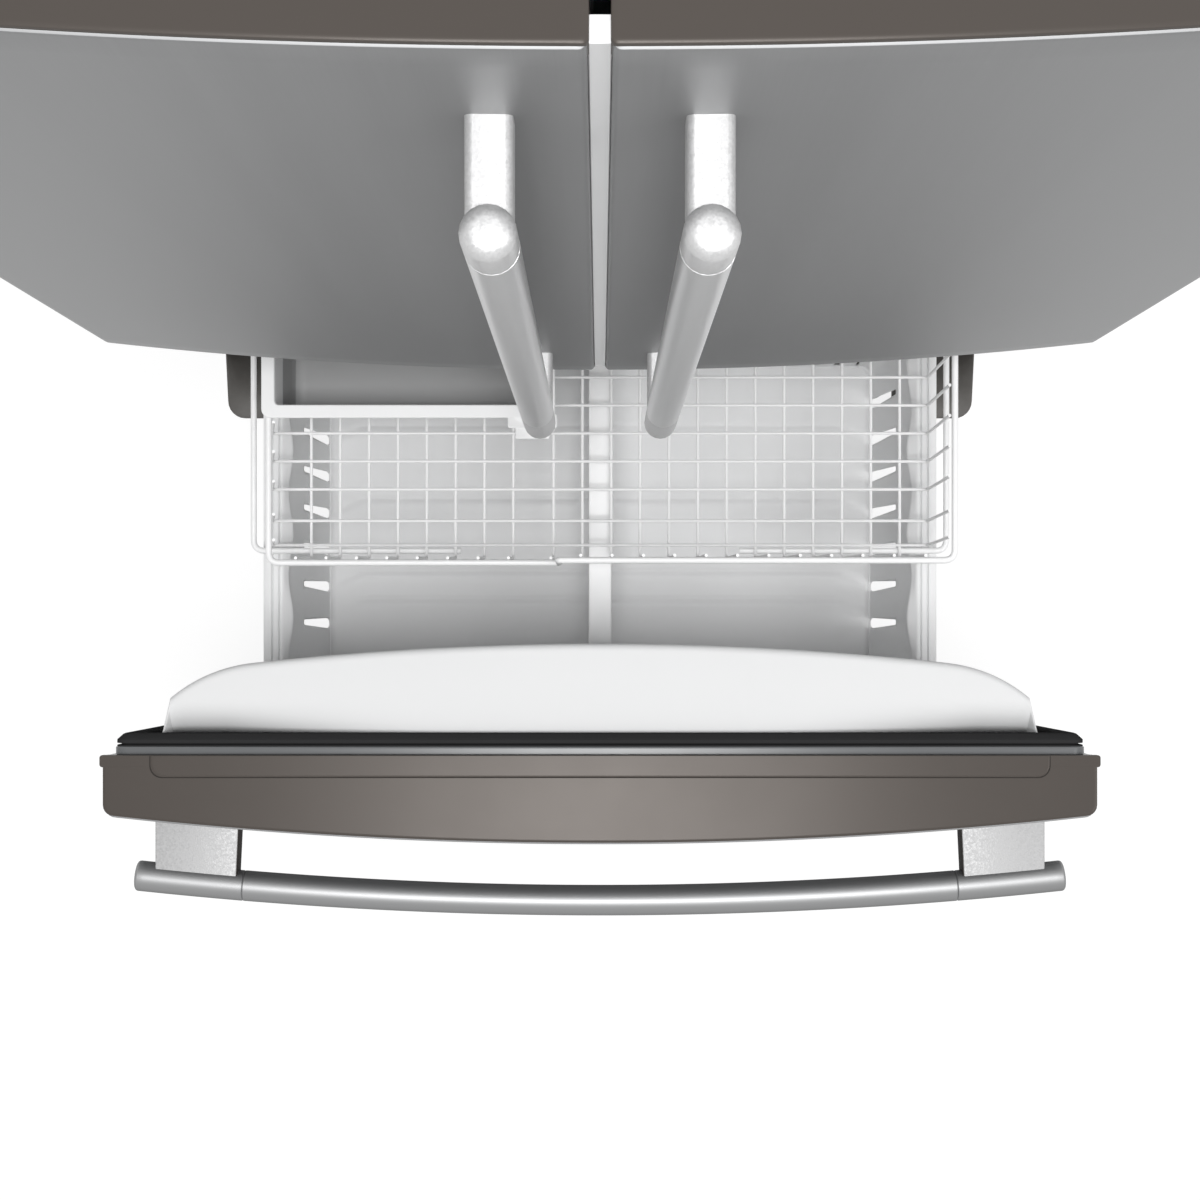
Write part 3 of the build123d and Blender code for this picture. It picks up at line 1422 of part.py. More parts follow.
# Ice bin: an open tub on the floor of the basket, whose edge laps over the low rim on the left.
ice_bin_left = -basket_half + ice_bin_margin
ice_bin_right = ice_bin_left + ice_bin_width
ice_front = basket_front + ice_bin_setback
ice_centre = ((ice_bin_left + ice_bin_right) / 2, ice_front + ice_bin_length / 2)
ice_bin_taper = 16.0
tab_centre = ice_bin_right + tab_overhang - tab_width / 2
with BuildPart() as ice_bin:
    add(tub(
        (ice_bin_width - ice_bin_taper, ice_bin_length - ice_bin_taper), (ice_bin_width, ice_bin_length),
        ice_centre, ice_centre, net_top + slide_gap, ice_bin_rim, ice_bin_wall, ice_bin_corner,
    ))
    with BuildSketch(Plane.XY.offset(ice_bin_rim)):
        with Locations(ice_centre):
            RectangleRounded(ice_bin_width + ice_bin_edge, ice_bin_length + ice_bin_edge, ice_bin_corner + 2)
            RectangleRounded(
                ice_bin_width - 2 * ice_bin_wall, ice_bin_length - 2 * ice_bin_wall, ice_bin_corner - 3,
                mode=Mode.SUBTRACT,
            )
        with Locations((tab_centre, ice_front - tab_reach / 2)):
            Rectangle(tab_width, tab_reach)
        with Locations((tab_centre, ice_front - tab_root_reach / 2)):
            Rectangle(tab_root_width, tab_root_reach)
    extrude(amount=ice_bin_edge_height)
pieces["ice_bin"] = ice_bin.part

os.makedirs("parts", exist_ok=True)
for name, shape in pieces.items():
    shape.label = name
    export_step(shape, f"parts/{name}.step")
print(len(pieces), "pieces written")
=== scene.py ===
import math
import bmesh
import bpy
import numpy as np
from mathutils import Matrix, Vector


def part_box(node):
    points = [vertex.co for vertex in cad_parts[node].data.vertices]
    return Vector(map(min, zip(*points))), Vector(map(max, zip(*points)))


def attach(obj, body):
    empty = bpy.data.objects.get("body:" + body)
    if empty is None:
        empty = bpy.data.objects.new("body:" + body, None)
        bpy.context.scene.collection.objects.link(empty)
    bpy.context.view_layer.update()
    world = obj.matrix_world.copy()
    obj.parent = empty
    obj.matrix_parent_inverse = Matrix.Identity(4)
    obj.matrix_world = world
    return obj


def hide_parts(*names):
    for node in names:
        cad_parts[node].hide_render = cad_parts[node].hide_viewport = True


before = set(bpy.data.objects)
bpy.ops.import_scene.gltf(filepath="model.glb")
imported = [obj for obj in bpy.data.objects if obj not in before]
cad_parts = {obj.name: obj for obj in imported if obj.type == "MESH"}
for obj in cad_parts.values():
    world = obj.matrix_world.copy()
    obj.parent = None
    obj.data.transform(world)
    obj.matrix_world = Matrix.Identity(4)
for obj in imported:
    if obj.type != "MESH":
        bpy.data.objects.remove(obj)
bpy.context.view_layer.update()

# Studio: a plain pale floor, a white room and two soft lamps above the pulled-out drawer.
# The camera looks straight down on the open drawer, as the photograph was taken.
# Nothing here belongs to the refrigerator.
scene = bpy.context.scene
scene.view_settings.view_transform = "Standard"


def new_tree(name):
    """A material and its empty node tree."""
    material = bpy.data.materials.new(name)
    material.use_nodes = True
    material.node_tree.nodes.clear()
    return material, material.node_tree


def add(tree, kind, inputs=(), **settings):
    """Adds a node of that kind. An input takes a number, a colour or the output of another node."""
    node = tree.nodes.new("ShaderNode" + kind)
    for key, value in settings.items():
        setattr(node, key, value)
    for key, value in dict(inputs).items():
        socket = node.inputs[key]
        if isinstance(value, bpy.types.NodeSocket):
            tree.links.new(value, socket)
        elif socket.type == "RGBA":
            socket.default_value = (*value[:3], 1.0)
        else:
            socket.default_value = value
    return node


def seen_directly(tree):
    """1 where a ray comes from the camera, off metal or through glass, else 0."""
    path = add(tree, "LightPath")
    shown = path.outputs["Is Camera Ray"]
    for kind in ("Is Glossy Ray", "Is Transmission Ray"):
        shown = add(tree, "Math", {0: shown, 1: path.outputs[kind]}, operation="MAXIMUM").outputs[0]
    return shown


ROOM_FILL = 0.45
scene.world = bpy.data.worlds.new("white_room")
scene.world.use_nodes = True
room = scene.world.node_tree
room.nodes.clear()
strength = add(room, "MapRange", {"Value": seen_directly(room), "To Min": ROOM_FILL, "To Max": 1.0})
sky = add(room, "Background", {"Color": (1.0, 1.0, 1.0), "Strength": strength.outputs[0]})
room.links.new(sky.outputs[0], add(room, "OutputWorld").inputs[0])

FLOOR_HALF = 9.0
floor_corners = [(x * FLOOR_HALF, y * FLOOR_HALF, 0) for x, y in ((-1, -1), (1, -1), (1, 1), (-1, 1))]
floor_mesh = bpy.data.meshes.new("floor")
floor_mesh.from_pydata(floor_corners, [], [(0, 1, 2, 3)])
floor = bpy.data.objects.new("floor", floor_mesh)
scene.collection.objects.link(floor)
paper, tree = new_tree("pale_floor")
plain = add(tree, "BsdfDiffuse", {"Color": (0.8, 0.8, 0.8)})
glow = add(tree, "Emission", {"Color": (1.0, 1.0, 1.0), "Strength": 0.84})
shaded = add(tree, "BsdfDiffuse", {"Color": (0.22, 0.22, 0.22)})
bright = add(tree, "AddShader", {0: glow.outputs[0], 1: shaded.outputs[0]})
mixed = add(tree, "MixShader", {0: seen_directly(tree), 1: plain.outputs[0], 2: bright.outputs[0]})
tree.links.new(mixed.outputs[0], add(tree, "OutputMaterial").inputs[0])
floor_mesh.materials.append(paper)

for name, place, aim, size, power in (
    ("key_lamp", (0.0, -1.12, 6.5), (0.0, -0.7, 0.5), 1.5, 190.0),
    ("side_lamp", (2.4, -1.0, 3.9), (-0.1, -0.4, 0.4), 1.4, 28.0),
):
    light = bpy.data.lights.new(name, "AREA")
    light.shape = "SQUARE"
    light.size = size
    light.energy = power
    lamp = bpy.data.objects.new(name, light)
    lamp.location = place
    back = np.array(place) - np.array(aim)
    tilt = math.atan2(math.hypot(back[0], back[1]), back[2])
    lamp.rotation_euler = (tilt, 0, math.atan2(back[0], -back[1]))
    lamp.visible_camera = False
    scene.collection.objects.link(lamp)

view = bpy.data.cameras.new("camera")
view.sensor_width = 36.0
view.lens = 63.3
view.shift_y = 0.035
view.clip_end = 50.0
camera = bpy.data.objects.new("camera", view)
camera.location = (0.0, -0.4132, 2.611)
scene.collection.objects.link(camera)
scene.camera = camera

# Outer case: one sheet of painted steel bent over both sides and the top, with a narrow return at the front.
# Every mesh here is worked out in millimetres from points on a grid, and put down in metres.
MM = 0.001


def span(node):
    """Lowest and highest corner of a CAD node, in millimetres."""
    low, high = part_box(node)
    return np.array(low) / MM, np.array(high) / MM


def at(*coordinates):
    """Points at those coordinates: each is an array, or one number for all of the points."""
    return np.stack(np.broadcast_arrays(*coordinates), -1)


def lay(outline, level, axis="z"):
    """Puts a flat outline across the axis at that level: z lays it flat, y stands it up facing the front."""
    return np.insert(outline, "xyz".index(axis), level, axis=1)


def edge_round(radius, steps):
    """A quarter circle over an edge, as each point's distances in from the side and down from the top."""
    turn = np.linspace(0, math.pi / 2, steps + 1)
    return radius * at(1 - np.cos(turn), 1 - np.sin(turn))


def grid(points, wrap_u=False, wrap_v=False, caps=False, keep=None):
    """Points (u, v, 3) and the quads between neighbours.

    A wrapped way joins its last line to its first, caps close both ends of u, and keep picks quads.
    """
    nu, nv = points.shape[:2]
    u, v = np.meshgrid(np.arange(nu - (not wrap_u)), np.arange(nv - (not wrap_v)), indexing="ij")
    u2, v2 = (u + 1) % nu, (v + 1) % nv
    quads = at(u * nv + v, u2 * nv + v, u2 * nv + v2, u * nv + v2)
    faces = (quads.reshape(-1, 4) if keep is None else quads[keep]).tolist()
    if caps:
        faces += [list(range(nv))[::-1], list(range((nu - 1) * nv, nu * nv))]
    return points.reshape(-1, 3), faces


def build(name, parts, material, body, replaced=(), wall=0.0, crease=38):
    """Joins the parts into one mesh that faces outward, gives it its finish and lets it ride on its body."""
    points = np.concatenate([p for p, _ in parts]) * MM
    starts = np.cumsum([0] + [len(p) for p, _ in parts])
    faces = [[i + start for i in face] for (_, some), start in zip(parts, starts) for face in some]
    mesh = bpy.data.meshes.new(name)
    mesh.from_pydata(points.tolist(), [], faces)
    work = bmesh.new()
    work.from_mesh(mesh)
    bmesh.ops.recalc_face_normals(work, faces=work.faces)
    work.to_mesh(mesh)
    work.free()
    mesh.polygons.foreach_set("use_smooth", np.ones(len(mesh.polygons), bool))
    mesh.set_sharp_from_angle(angle=math.radians(crease))
    mesh.materials.append(material)
    piece = bpy.data.objects.new(name, mesh)
    scene.collection.objects.link(piece)
    if wall:
        sheet = piece.modifiers.new("wall", "SOLIDIFY")
        sheet.thickness = wall * MM
        sheet.offset = 0.0
    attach(piece, body)
    if replaced:
        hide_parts(*replaced)


def shared_group(name, inputs, outputs=("Colour", "Roughness", "Height")):
    """A shader node group that reads places, colours and numbers, with the sockets at its two ends."""
    group = bpy.data.node_groups.new(name, "ShaderNodeTree")
    group.interface.new_socket("Vector", in_out="INPUT", socket_type="NodeSocketVector")
    for label, value in inputs.items():
        kind = "Color" if isinstance(value, tuple) else "Float"
        socket = group.interface.new_socket(label, in_out="INPUT", socket_type="NodeSocket" + kind)
        socket.default_value = value
    for label in outputs:
        kind = "Color" if label == "Colour" else "Float"
        group.interface.new_socket(label, in_out="OUTPUT", socket_type="NodeSocket" + kind)
    return group, group.nodes.new("NodeGroupInput").outputs, group.nodes.new("NodeGroupOutput").inputs


def vary(group, given, out, signal, middle, contrast, gloss, roughness):
    """Lets the group's colour and roughness follow a signal as it swings about its middle."""
    centred = add(group, "Math", {0: signal, 1: middle}, operation="SUBTRACT").outputs[0]
    patch = add(group, "Math", {0: centred, 1: contrast, 2: 1.0}, operation="MULTIPLY_ADD").outputs[0]
    tint = add(group, "VectorMath", {0: given["Colour"], "Scale": patch}, operation="SCALE")
    shine = add(group, "Math", {0: centred, 1: gloss, 2: roughness}, operation="MULTIPLY_ADD")
    group.links.new(tint.outputs[0], out["Colour"])
    group.links.new(shine.outputs[0], out["Roughness"])


# Moulded or sprayed surface: fine grain for the bump, and slow patches that change colour and gloss.
moulded, given, out = shared_group(
    "moulded_surface", {"Colour": (0.8, 0.8, 0.8, 1), "Grain": 900.0, "Mottle": 0.04, "Roughness": 0.4},
)
fine = add(moulded, "TexNoise", {"Vector": given["Vector"], "Scale": given["Grain"], "Detail": 2.0})
slow = add(moulded, "TexNoise", {"Vector": given["Vector"], "Scale": 7.0, "Detail": 4.0, "Roughness": 0.6})
vary(moulded, given, out, slow.outputs[0], 0.5, given["Mottle"], 0.1, given["Roughness"])
moulded.links.new(fine.outputs[0], out["Height"])

# Dust that settles on faces that look up, thicker in slow patches.
dusty, given, out = shared_group(
    "settled_dust", {"Colour": (0.5, 0.5, 0.5, 1), "Dust": (0.55, 0.53, 0.5, 1), "Amount": 0.2}, ["Colour"],
)
up = add(dusty, "SeparateXYZ", {0: add(dusty, "NewGeometry").outputs["Normal"]})
level = add(dusty, "MapRange", {"Value": up.outputs["Z"], "From Min": 0.3, "From Max": 1.0})
cloud = add(dusty, "TexNoise", {"Vector": given["Vector"], "Scale": 22.0, "Detail": 6.0, "Roughness": 0.7})
lying = add(dusty, "Math", {0: level.outputs[0], 1: cloud.outputs[0]}, operation="MULTIPLY")
share = add(dusty, "Math", {0: lying.outputs[0], 1: given["Amount"]}, operation="MULTIPLY", use_clamp=True)
settled = add(dusty, "Mix", data_type="RGBA", inputs={
    "Factor": share.outputs[0], 6: given["Colour"], 7: given["Dust"],
})
dusty.links.new(settled.outputs[2], out["Colour"])


def make_finish(name, group, values, depth, stretch=None, dust=0.0, **fixed):
    """A material whose surface comes from a shared group, read along places that may be stretched.

    depth is the height of its relief in millimetres, and fixed are values of the shader itself.
    """
    material, tree = new_tree(name)
    place = add(tree, "TexCoord").outputs["Object"]
    if stretch:
        place = add(tree, "Mapping", {"Vector": place, "Scale": stretch}).outputs[0]
    surface = add(tree, "Group", {"Vector": place, **values}, node_tree=group).outputs
    tint = surface["Colour"]
    if dust:
        layer = add(tree, "Group", {"Vector": place, "Colour": tint, "Amount": dust}, node_tree=dusty)
        tint = layer.outputs[0]
    bump = add(tree, "Bump", {"Height": surface["Height"], "Strength": 1.0, "Distance": depth * MM})
    shader = add(tree, "BsdfPrincipled", {
        "Base Color": tint, "Roughness": surface["Roughness"], "Normal": bump.outputs[0], **fixed,
    })
    tree.links.new(shader.outputs[0], add(tree, "OutputMaterial").inputs[0])
    return material


def plastic(name, colour, roughness, grain=900.0, depth=0.03, mottle=0.06, dust=0.0, shine=0.5, **fixed):
    """A moulded or painted finish: grain and depth are those of its fine relief, shine its specular level."""
    values = {"Colour": colour, "Grain": grain, "Mottle": mottle, "Roughness": roughness}
    return make_finish(name, moulded, values, depth, dust=dust, **{"Specular IOR Level": shine}, **fixed)


case_paint = plastic("case_paint", (0.27, 0.275, 0.28), 0.45, grain=700.0, depth=0.09, mottle=0.05, dust=0.15)
case_low, case_high = span("outer_case")
SHEET, RETURN, BEND = 1.0, 19.0, 2.0
FRONT_HEM = ((RETURN, 0.6), (2.0, 0.6), (0.6, 1.2), (0.0, 2.6), (0.0, 200.0), (0.0, 450.0))


def bent_over(inset):
    """The sheet seen from the front, from one foot over the top to the other, moved inward by inset."""
    half, top = case_high[0] - SHEET / 2 - inset, case_high[2] - SHEET / 2 - inset
    left = edge_round(max(BEND - inset, 1.0), 6) * (1, -1) + (-half, top)
    foot = np.array([[-half, case_low[2]]])
    return np.concatenate([foot, left, left[::-1] * (-1, 1), foot * (-1, 1)])


case_rows = [(inset, case_low[1] + depth) for inset, depth in FRONT_HEM] + [(0.0, case_high[1] - 0.5)]
case_lines = np.array([lay(bent_over(inset), y, "y") for inset, y in case_rows])
build("case_sheet", [grid(case_lines)], case_paint, "cabinet", ["outer_case"], wall=SHEET)

# Back panel: thin galvanised sheet with three pressed fields that stiffen it, and screws round its edge.
# The board below it closes the machine space and has its own rows of slots.
spangle, given, out = shared_group(
    "zinc_spangle", {"Colour": (0.6, 0.6, 0.6, 1), "Size": 90.0, "Contrast": 0.2},
)
crystals = add(spangle, "TexVoronoi", {"Vector": given["Vector"], "Scale": given["Size"]})
tone = add(spangle, "SeparateColor", {0: crystals.outputs["Color"]})
vary(spangle, given, out, tone.outputs[0], 0.5, given["Contrast"], 0.2, 0.42)
spangle.links.new(crystals.outputs["Distance"], out["Height"])


def crystal_metal(name, colour, size=90.0, contrast=0.2, metallic=1.0, depth=0.02):
    """A metal or metallic paint whose grains differ in tone, as on galvanised sheet or cast metal."""
    values = {"Colour": colour, "Size": size, "Contrast": contrast}
    return make_finish(name, spangle, values, depth, Metallic=metallic)


def coat(material, *names):
    """Gives CAD nodes a finish; their shape is right as it is."""
    for name in names:
        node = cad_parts[name]
        if not node.material_slots:
            node.data.materials.append(material)
        for place in node.material_slots:
            place.material = material


def solid(rings):
    """Rings joined one after another into a closed body."""
    return grid(np.array(rings), wrap_v=True, caps=True)


def screws(places, radius, height):
    """Pan head screws that look to the back: each is four rings of twelve points, closed over its middle."""
    turn = np.linspace(0, 2 * math.pi, 12, endpoint=False)
    ring = radius * at(np.cos(turn), np.sin(turn))
    profile = ((1.0, 0.0), (1.0, 0.45), (0.82, 0.85), (0.4, 1.0))
    return [
        solid([lay(ring * share + (x, z), y + height * out_by, "y") for share, out_by in profile])
        for x, y, z in places
    ]


zinc = crystal_metal("zinc_sheet", (0.46, 0.47, 0.48))
FIELDS, FIELD_HALF_X, FIELD_END, FIELD_GAP = 3, 370.0, 60.0, 22.0
BEAD_WIDTH, BEAD_HEIGHT = 9.0, 4.0
SCREW_IN, SCREW_END, SCREW_SUNK = 9.0, 12.0, 0.2
panel_low, panel_high = span("back_panel")
across, upward = (np.linspace(panel_low[i], panel_high[i], count) for i, count in ((0, 121), (2, 181)))
panel_x, panel_z = np.meshgrid(across, upward, indexing="ij")
field_ends = np.linspace(panel_low[2] + FIELD_END, panel_high[2] - FIELD_END, FIELDS + 1)
pressed = np.zeros_like(panel_x)
for low, high in zip(field_ends[:-1], field_ends[1:]):
    above = np.abs(panel_z - (low + high) / 2) - (high - low) / 2 + FIELD_GAP
    edge = np.maximum(np.abs(panel_x) - FIELD_HALF_X, above)
    pressed = np.maximum(pressed, np.exp(-((edge / BEAD_WIDTH) ** 2)))
panel_points = at(panel_x, panel_high[1] - 0.5 + BEAD_HEIGHT * pressed, panel_z)
build("back_sheet", [grid(panel_points)], zinc, "cabinet", ["back_panel"], wall=0.9)
cover_low, cover_high = span("machine_cover")
screw_y, cover_y = panel_high[1] - SCREW_SUNK, cover_high[1] - SCREW_SUNK
screw_levels = np.linspace(panel_low[2] + SCREW_END, panel_high[2] - SCREW_END, 9)
places = [(side * (panel_high[0] - SCREW_IN), screw_y, z) for side in (-1, 1) for z in screw_levels]
places += [(x, screw_y, panel_high[2] - SCREW_IN) for x in np.linspace(-330, 330, 5)]
cover_levels = (cover_low[2] + SCREW_END, cover_high[2] - SCREW_END)
places += [(x, cover_y, z) for x in (-435.0, -150.0, 150.0, 435.0) for z in cover_levels]
screw_steel = crystal_metal("screw_steel", (0.5, 0.5, 0.5), size=400.0, contrast=0.1)
build("back_screws", screws(places, radius=4.5, height=2.4), screw_steel, "cabinet")
board = plastic("board", (0.17, 0.15, 0.125), 0.8, grain=260.0, depth=0.25, mottle=0.35, dust=0.3)
coat(board, "machine_cover")

# Foam and liners: foam fills the walls, and white plastic liners make the rooms inside.
# The upper liner is drawn from one sheet, with a flange at its mouth and round corners at its back.
foam = plastic("foam", (0.72, 0.66, 0.42), 0.85, grain=420.0, depth=0.5, mottle=0.2)
coat(foam, "cabinet_insulation")
liner_white = plastic("liner", (0.79, 0.793, 0.796), 0.45, grain=500.0, depth=0.015, mottle=0.03, shine=0.1)
coat(liner_white, "freezer_liner")


def corner_arcs(half_x, half_y, radius, turn):
    """The four round corners of a rectangle, anticlockwise from the one at the right and back."""
    arc = radius * at(np.cos(turn), np.sin(turn))
    middle = (half_x - radius, half_y - radius)
    return [arc + middle, (arc[::-1] + middle) * (-1, 1), -arc - middle, (arc[::-1] + middle) * (1, -1)]


def rounded(half_x, half_y, radius):
    """Outline of a rectangle with round corners, anticlockwise from its right side."""
    return np.concatenate(corner_arcs(half_x, half_y, radius, np.linspace(0, math.pi / 2, 7)))


LINER_WALL, ROOM_CORNER = 2.5, 10.0
ROOM_SIDE, ROOM_UNDER, ROOM_OVER = 20.5, 24.7, 23.0
liner_low, liner_high = span("fresh_food_liner")
mouth, rear = liner_low[1] + 1.3, liner_high[1] - LINER_WALL / 2
room_floor, room_ceiling = liner_low[2] + ROOM_UNDER, liner_high[2] - ROOM_OVER
room_half = np.array([liner_high[0] - ROOM_SIDE, (room_ceiling - room_floor) / 2]) + LINER_WALL / 2
mouth_edge = ((1.5, 0.0), (0.3, 0.9), (0.0, 3.2))
rows = [((20.0, 23.0), 12.0, mouth)]
rows += [((wider, wider), ROOM_CORNER, mouth + depth) for wider, depth in mouth_edge]
rows.append(((0.0, 0.0), ROOM_CORNER, rear - ROOM_CORNER))
rows += [((-d, -d), ROOM_CORNER + 1 - d, rear - depth) for d, depth in edge_round(ROOM_CORNER, 4)[1:]]
room_middle = (0, (room_floor + room_ceiling) / 2)
room_rings = np.array([lay(rounded(*(room_half + wider), r) + room_middle, y, "y") for wider, r, y in rows])
room_points, room_faces = grid(room_rings, wrap_v=True)
room_faces.append(list(range(len(room_points) - room_rings.shape[1], len(room_points))))
build("fresh_food_room", [(room_points, room_faces)], liner_white, "cabinet", ["fresh_food_liner"],
      wall=LINER_WALL)

# Machine space: compressor on rubber mounts, condenser coil, its fan, and a drain pan on the steel base.
# It sits behind the slotted board, so these keep their shapes and get their own finishes.
black_paint = plastic("black_paint", (0.012, 0.012, 0.013), 0.35, grain=300.0, depth=0.06, mottle=0.2,
                      dust=0.5)
rubber = plastic("gasket_rubber", (0.036, 0.036, 0.037), 0.4, grain=600.0, depth=0.006, mottle=0.15,
                 shine=0.0)
fin_metal = crystal_metal("fin_metal", (0.62, 0.63, 0.64), size=700.0, contrast=0.12)
grey_plastic = plastic("grey_plastic", (0.3, 0.305, 0.31), 0.5, grain=900.0, depth=0.04)
coat(black_paint, "compressor", "condenser")
coat(rubber, "compressor_mounts")
coat(zinc, "base_pan", "hinge_brackets", "slide_fixed", "slide_middle", "slide_inner", "rear_rollers")
coat(grey_plastic, "drain_pan", "fan_motors", "condenser_fan", "evaporator_fan")
coat(fin_metal, "evaporator")

# Feet and base grille: two levelling feet and a dark grille clipped under the case, open to the machine air.
# The grille is one moulding: a level top, and a louvred front set back between deeper ends.
# Its ends lean in and cover the feet.
foot_plastic = plastic("foot_plastic", (0.04, 0.04, 0.042), 0.6, grain=500.0, depth=0.08, dust=0.4)
coat(foot_plastic, "left_leveling_leg", "right_leveling_leg")
taupe = plastic("taupe_plastic", (0.08, 0.07, 0.063), 0.23, grain=1100.0, depth=0.004, mottle=0.03,
                shine=0.13, **{"Specular Tint": (1.0, 0.93, 0.88)})
grille_low, grille_high = span("base_grille")
GRILLE_LEAN, GRILLE_CORNER, GRILLE_WALL = 3.0, 20.0, 2.0
END_FROM, END_CORNER, SET_BACK = 349.0, 9.0, 46.0
DRAFT = 0.13
LOUVRES, LOUVRE_PITCH, LOUVRE_DEPTH = 3, 20.0, 7.0


def grille_line(inset):
    """Plan of the grille from one back corner to the other, round both ends and the recess between."""
    half, front, step = grille_high[0] - inset, grille_low[1] + inset, END_FROM + inset
    bend = edge_round(END_CORNER, 6)
    into = (step, front + SET_BACK) - bend[:, ::-1]
    end = edge_round(GRILLE_CORNER, 6)[:, ::-1] * (-1, 1) + (half - GRILLE_LEAN, front)
    across = at(np.linspace(-into[0, 0], into[0, 0], 9)[1:-1], front + SET_BACK)
    half_line = np.concatenate([into, bend + (step, front), end, [[half, grille_high[1] - 0.5]]])
    return np.concatenate([half_line[::-1] * (-1, 1), across, half_line])


grille_rows = [(2.0, grille_low[2] + 1), (0.6, grille_low[2] + 3)]
for louvre in range(LOUVRES):
    z0 = grille_low[2] + 12 + louvre * LOUVRE_PITCH
    grille_rows += [(0.0, z0), (LOUVRE_DEPTH, z0 + 1.5), (LOUVRE_DEPTH, z0 + 9.0), (0.0, z0 + 12.5)]
grille_rows += [(0.0, grille_high[2] - 3.5), (0.5, grille_high[2] - 1.6), (2.4, grille_high[2] - 1.0)]
grille_lines = [lay(grille_line(inset + DRAFT * (grille_high[2] - z)), z) for inset, z in grille_rows]
back_line = grille_lines[-1].copy()
back_line[:, 1] = grille_high[1] - 1.0
grille_black = plastic("grille_plastic", (0.05, 0.046, 0.042), 0.5, grain=900.0, depth=0.05, dust=0.15)
build("grille", [grid(np.array(grille_lines + [back_line]))], grille_black, "cabinet",
      ["base_grille"], wall=GRILLE_WALL)

# Freezer and fresh food fittings: white covers and ducts, steel tracks, glass shelves in white frames.
# Their moulded shapes come from the frame, each with the finish of its own plastic, glass or steel.
white_plastic = plastic("white_plastic", (0.93, 0.933, 0.936), 0.38, grain=700.0, depth=0.03, mottle=0.04)
white_steel = plastic("white_steel", (0.78, 0.785, 0.79), 0.3, grain=1200.0, depth=0.02, mottle=0.03)
coat(white_plastic, "evaporator_cover", "air_duct", "shelf_frames", "ice_maker", "control_panel")
coat(white_steel, "shelf_tracks")
coat(zinc, "feeler_arm")


def clear(name, colour, roughness, see_through, grain):
    """Clear moulded plastic or glass: light goes through it, and a slow ripple bends what is seen."""
    through = {"Transmission Weight": see_through, "IOR": 1.46}
    return plastic(name, colour, roughness, grain=grain, depth=0.1, mottle=0.03, **through)


coat(clear("glass", (0.86, 0.94, 0.92), 0.03, 0.95, 12.0), "shelf_glass")
clear_plastic = clear("clear_plastic", (0.88, 0.91, 0.93), 0.12, 0.8, 40.0)

# Crispers: two clear moulded drawers under the lowest shelf, each with a white grip along its front edge.
# A drawer is a deep tub with a rim all round, and the grip is a rounded bar pressed onto it.
GRIP_DEPTH, GRIP_HEIGHT, GRIP_CORNER = 15.0, 24.0, 6.0
TUB_FOOT, TUB_FOOT_EDGE = 2.0, ((1.5, 0.0), (0.4, 0.6), (0.0, 1.6))


def rings(half, middle, rows, corner, sharpen=0.0, least=0.0, axis="z"):
    """Rounded rectangles about the middle, one for each row's inset and level.

    A corner's radius falls by sharpen times the inset, down to the least.
    """
    lines = []
    for inset, level in rows:
        outline = rounded(half[0] - inset, half[1] - inset, max(corner - sharpen * inset, least))
        lines.append(lay(outline + middle, level, axis))
    return np.array(lines)


def tub(low, high, taper, wall, corner, rim):
    """An open tub inside the box low to high: up its outside, over the rim and down inside to its floor."""
    z0, z1 = low[2], high[2]
    rows = [(taper + TUB_FOOT * inset, z0 + TUB_FOOT * up) for inset, up in TUB_FOOT_EDGE]
    rows += [(rim, z1 - 9), (rim, z1 - 7), (0.0, z1 - 6), (0.0, z1 - 1.2), (1.0, z1), (rim + wall - 0.6, z1)]
    rows += [(rim + wall, z1 - 1.0), (taper + wall, z0 + wall + TUB_FOOT)]
    rows.append((taper + wall + TUB_FOOT, z0 + wall))
    return solid(rings((high - low)[:2] / 2, (high + low)[:2] / 2, rows, corner, sharpen=1.0, least=2.0))


for side in ("left", "right"):
    name = f"{side}_crisper"
    low, high = span(name)
    crisper = tub(low + (0, GRIP_DEPTH, 0), high, taper=8.0, wall=2.5, corner=14.0, rim=4.0)
    build(f"{name}_tub", [crisper], clear_plastic, name, [name])
    grip_half = ((high[0] - low[0]) / 2 - 6, GRIP_HEIGHT / 2)
    grip_middle = ((low[0] + high[0]) / 2, high[2] - GRIP_HEIGHT / 2 - 1)
    depths = ((2.5, 0.0), (0.7, 0.8), (0.0, 2.5), (0.0, GRIP_DEPTH + 6))
    grip_rows = [(inset, low[1] + depth) for inset, depth in depths]
    grip = solid(rings(grip_half, grip_middle, grip_rows, GRIP_CORNER, axis="y"))
    build(f"{name}_grip", [grip], white_plastic, name, [name])

# Hinges: steel brackets carry the pins, and a moulded cover hides each top hinge and its wires.
# The covers are low boxes with a rounded top edge, one at each front corner of the case.
hinge_cover_paint = plastic("hinge_cover_plastic", (0.2, 0.2, 0.205), 0.5, grain=800.0, depth=0.06, dust=0.2)
COVER_WIDTH, COVER_EDGE, COVER_CORNER = 93.0, 8.0, 20.0
low, high = span("hinge_covers")
cover_half = (COVER_WIDTH / 2, (high[1] - low[1]) / 2)
cover_rows = [(0.0, low[2] + 0.3)]
cover_rows += [(1.0 + inset, high[2] - drop) for inset, drop in edge_round(COVER_EDGE, 4)]
covers = []
for side in (1, -1):
    cover_middle = (side * (COVER_WIDTH / 2 - high[0]), (low[1] + high[1]) / 2)
    covers.append(solid(rings(cover_half, cover_middle, cover_rows, COVER_CORNER, sharpen=1.0)))
build("hinge_caps", covers, hinge_cover_paint, "cabinet", ["hinge_covers"])

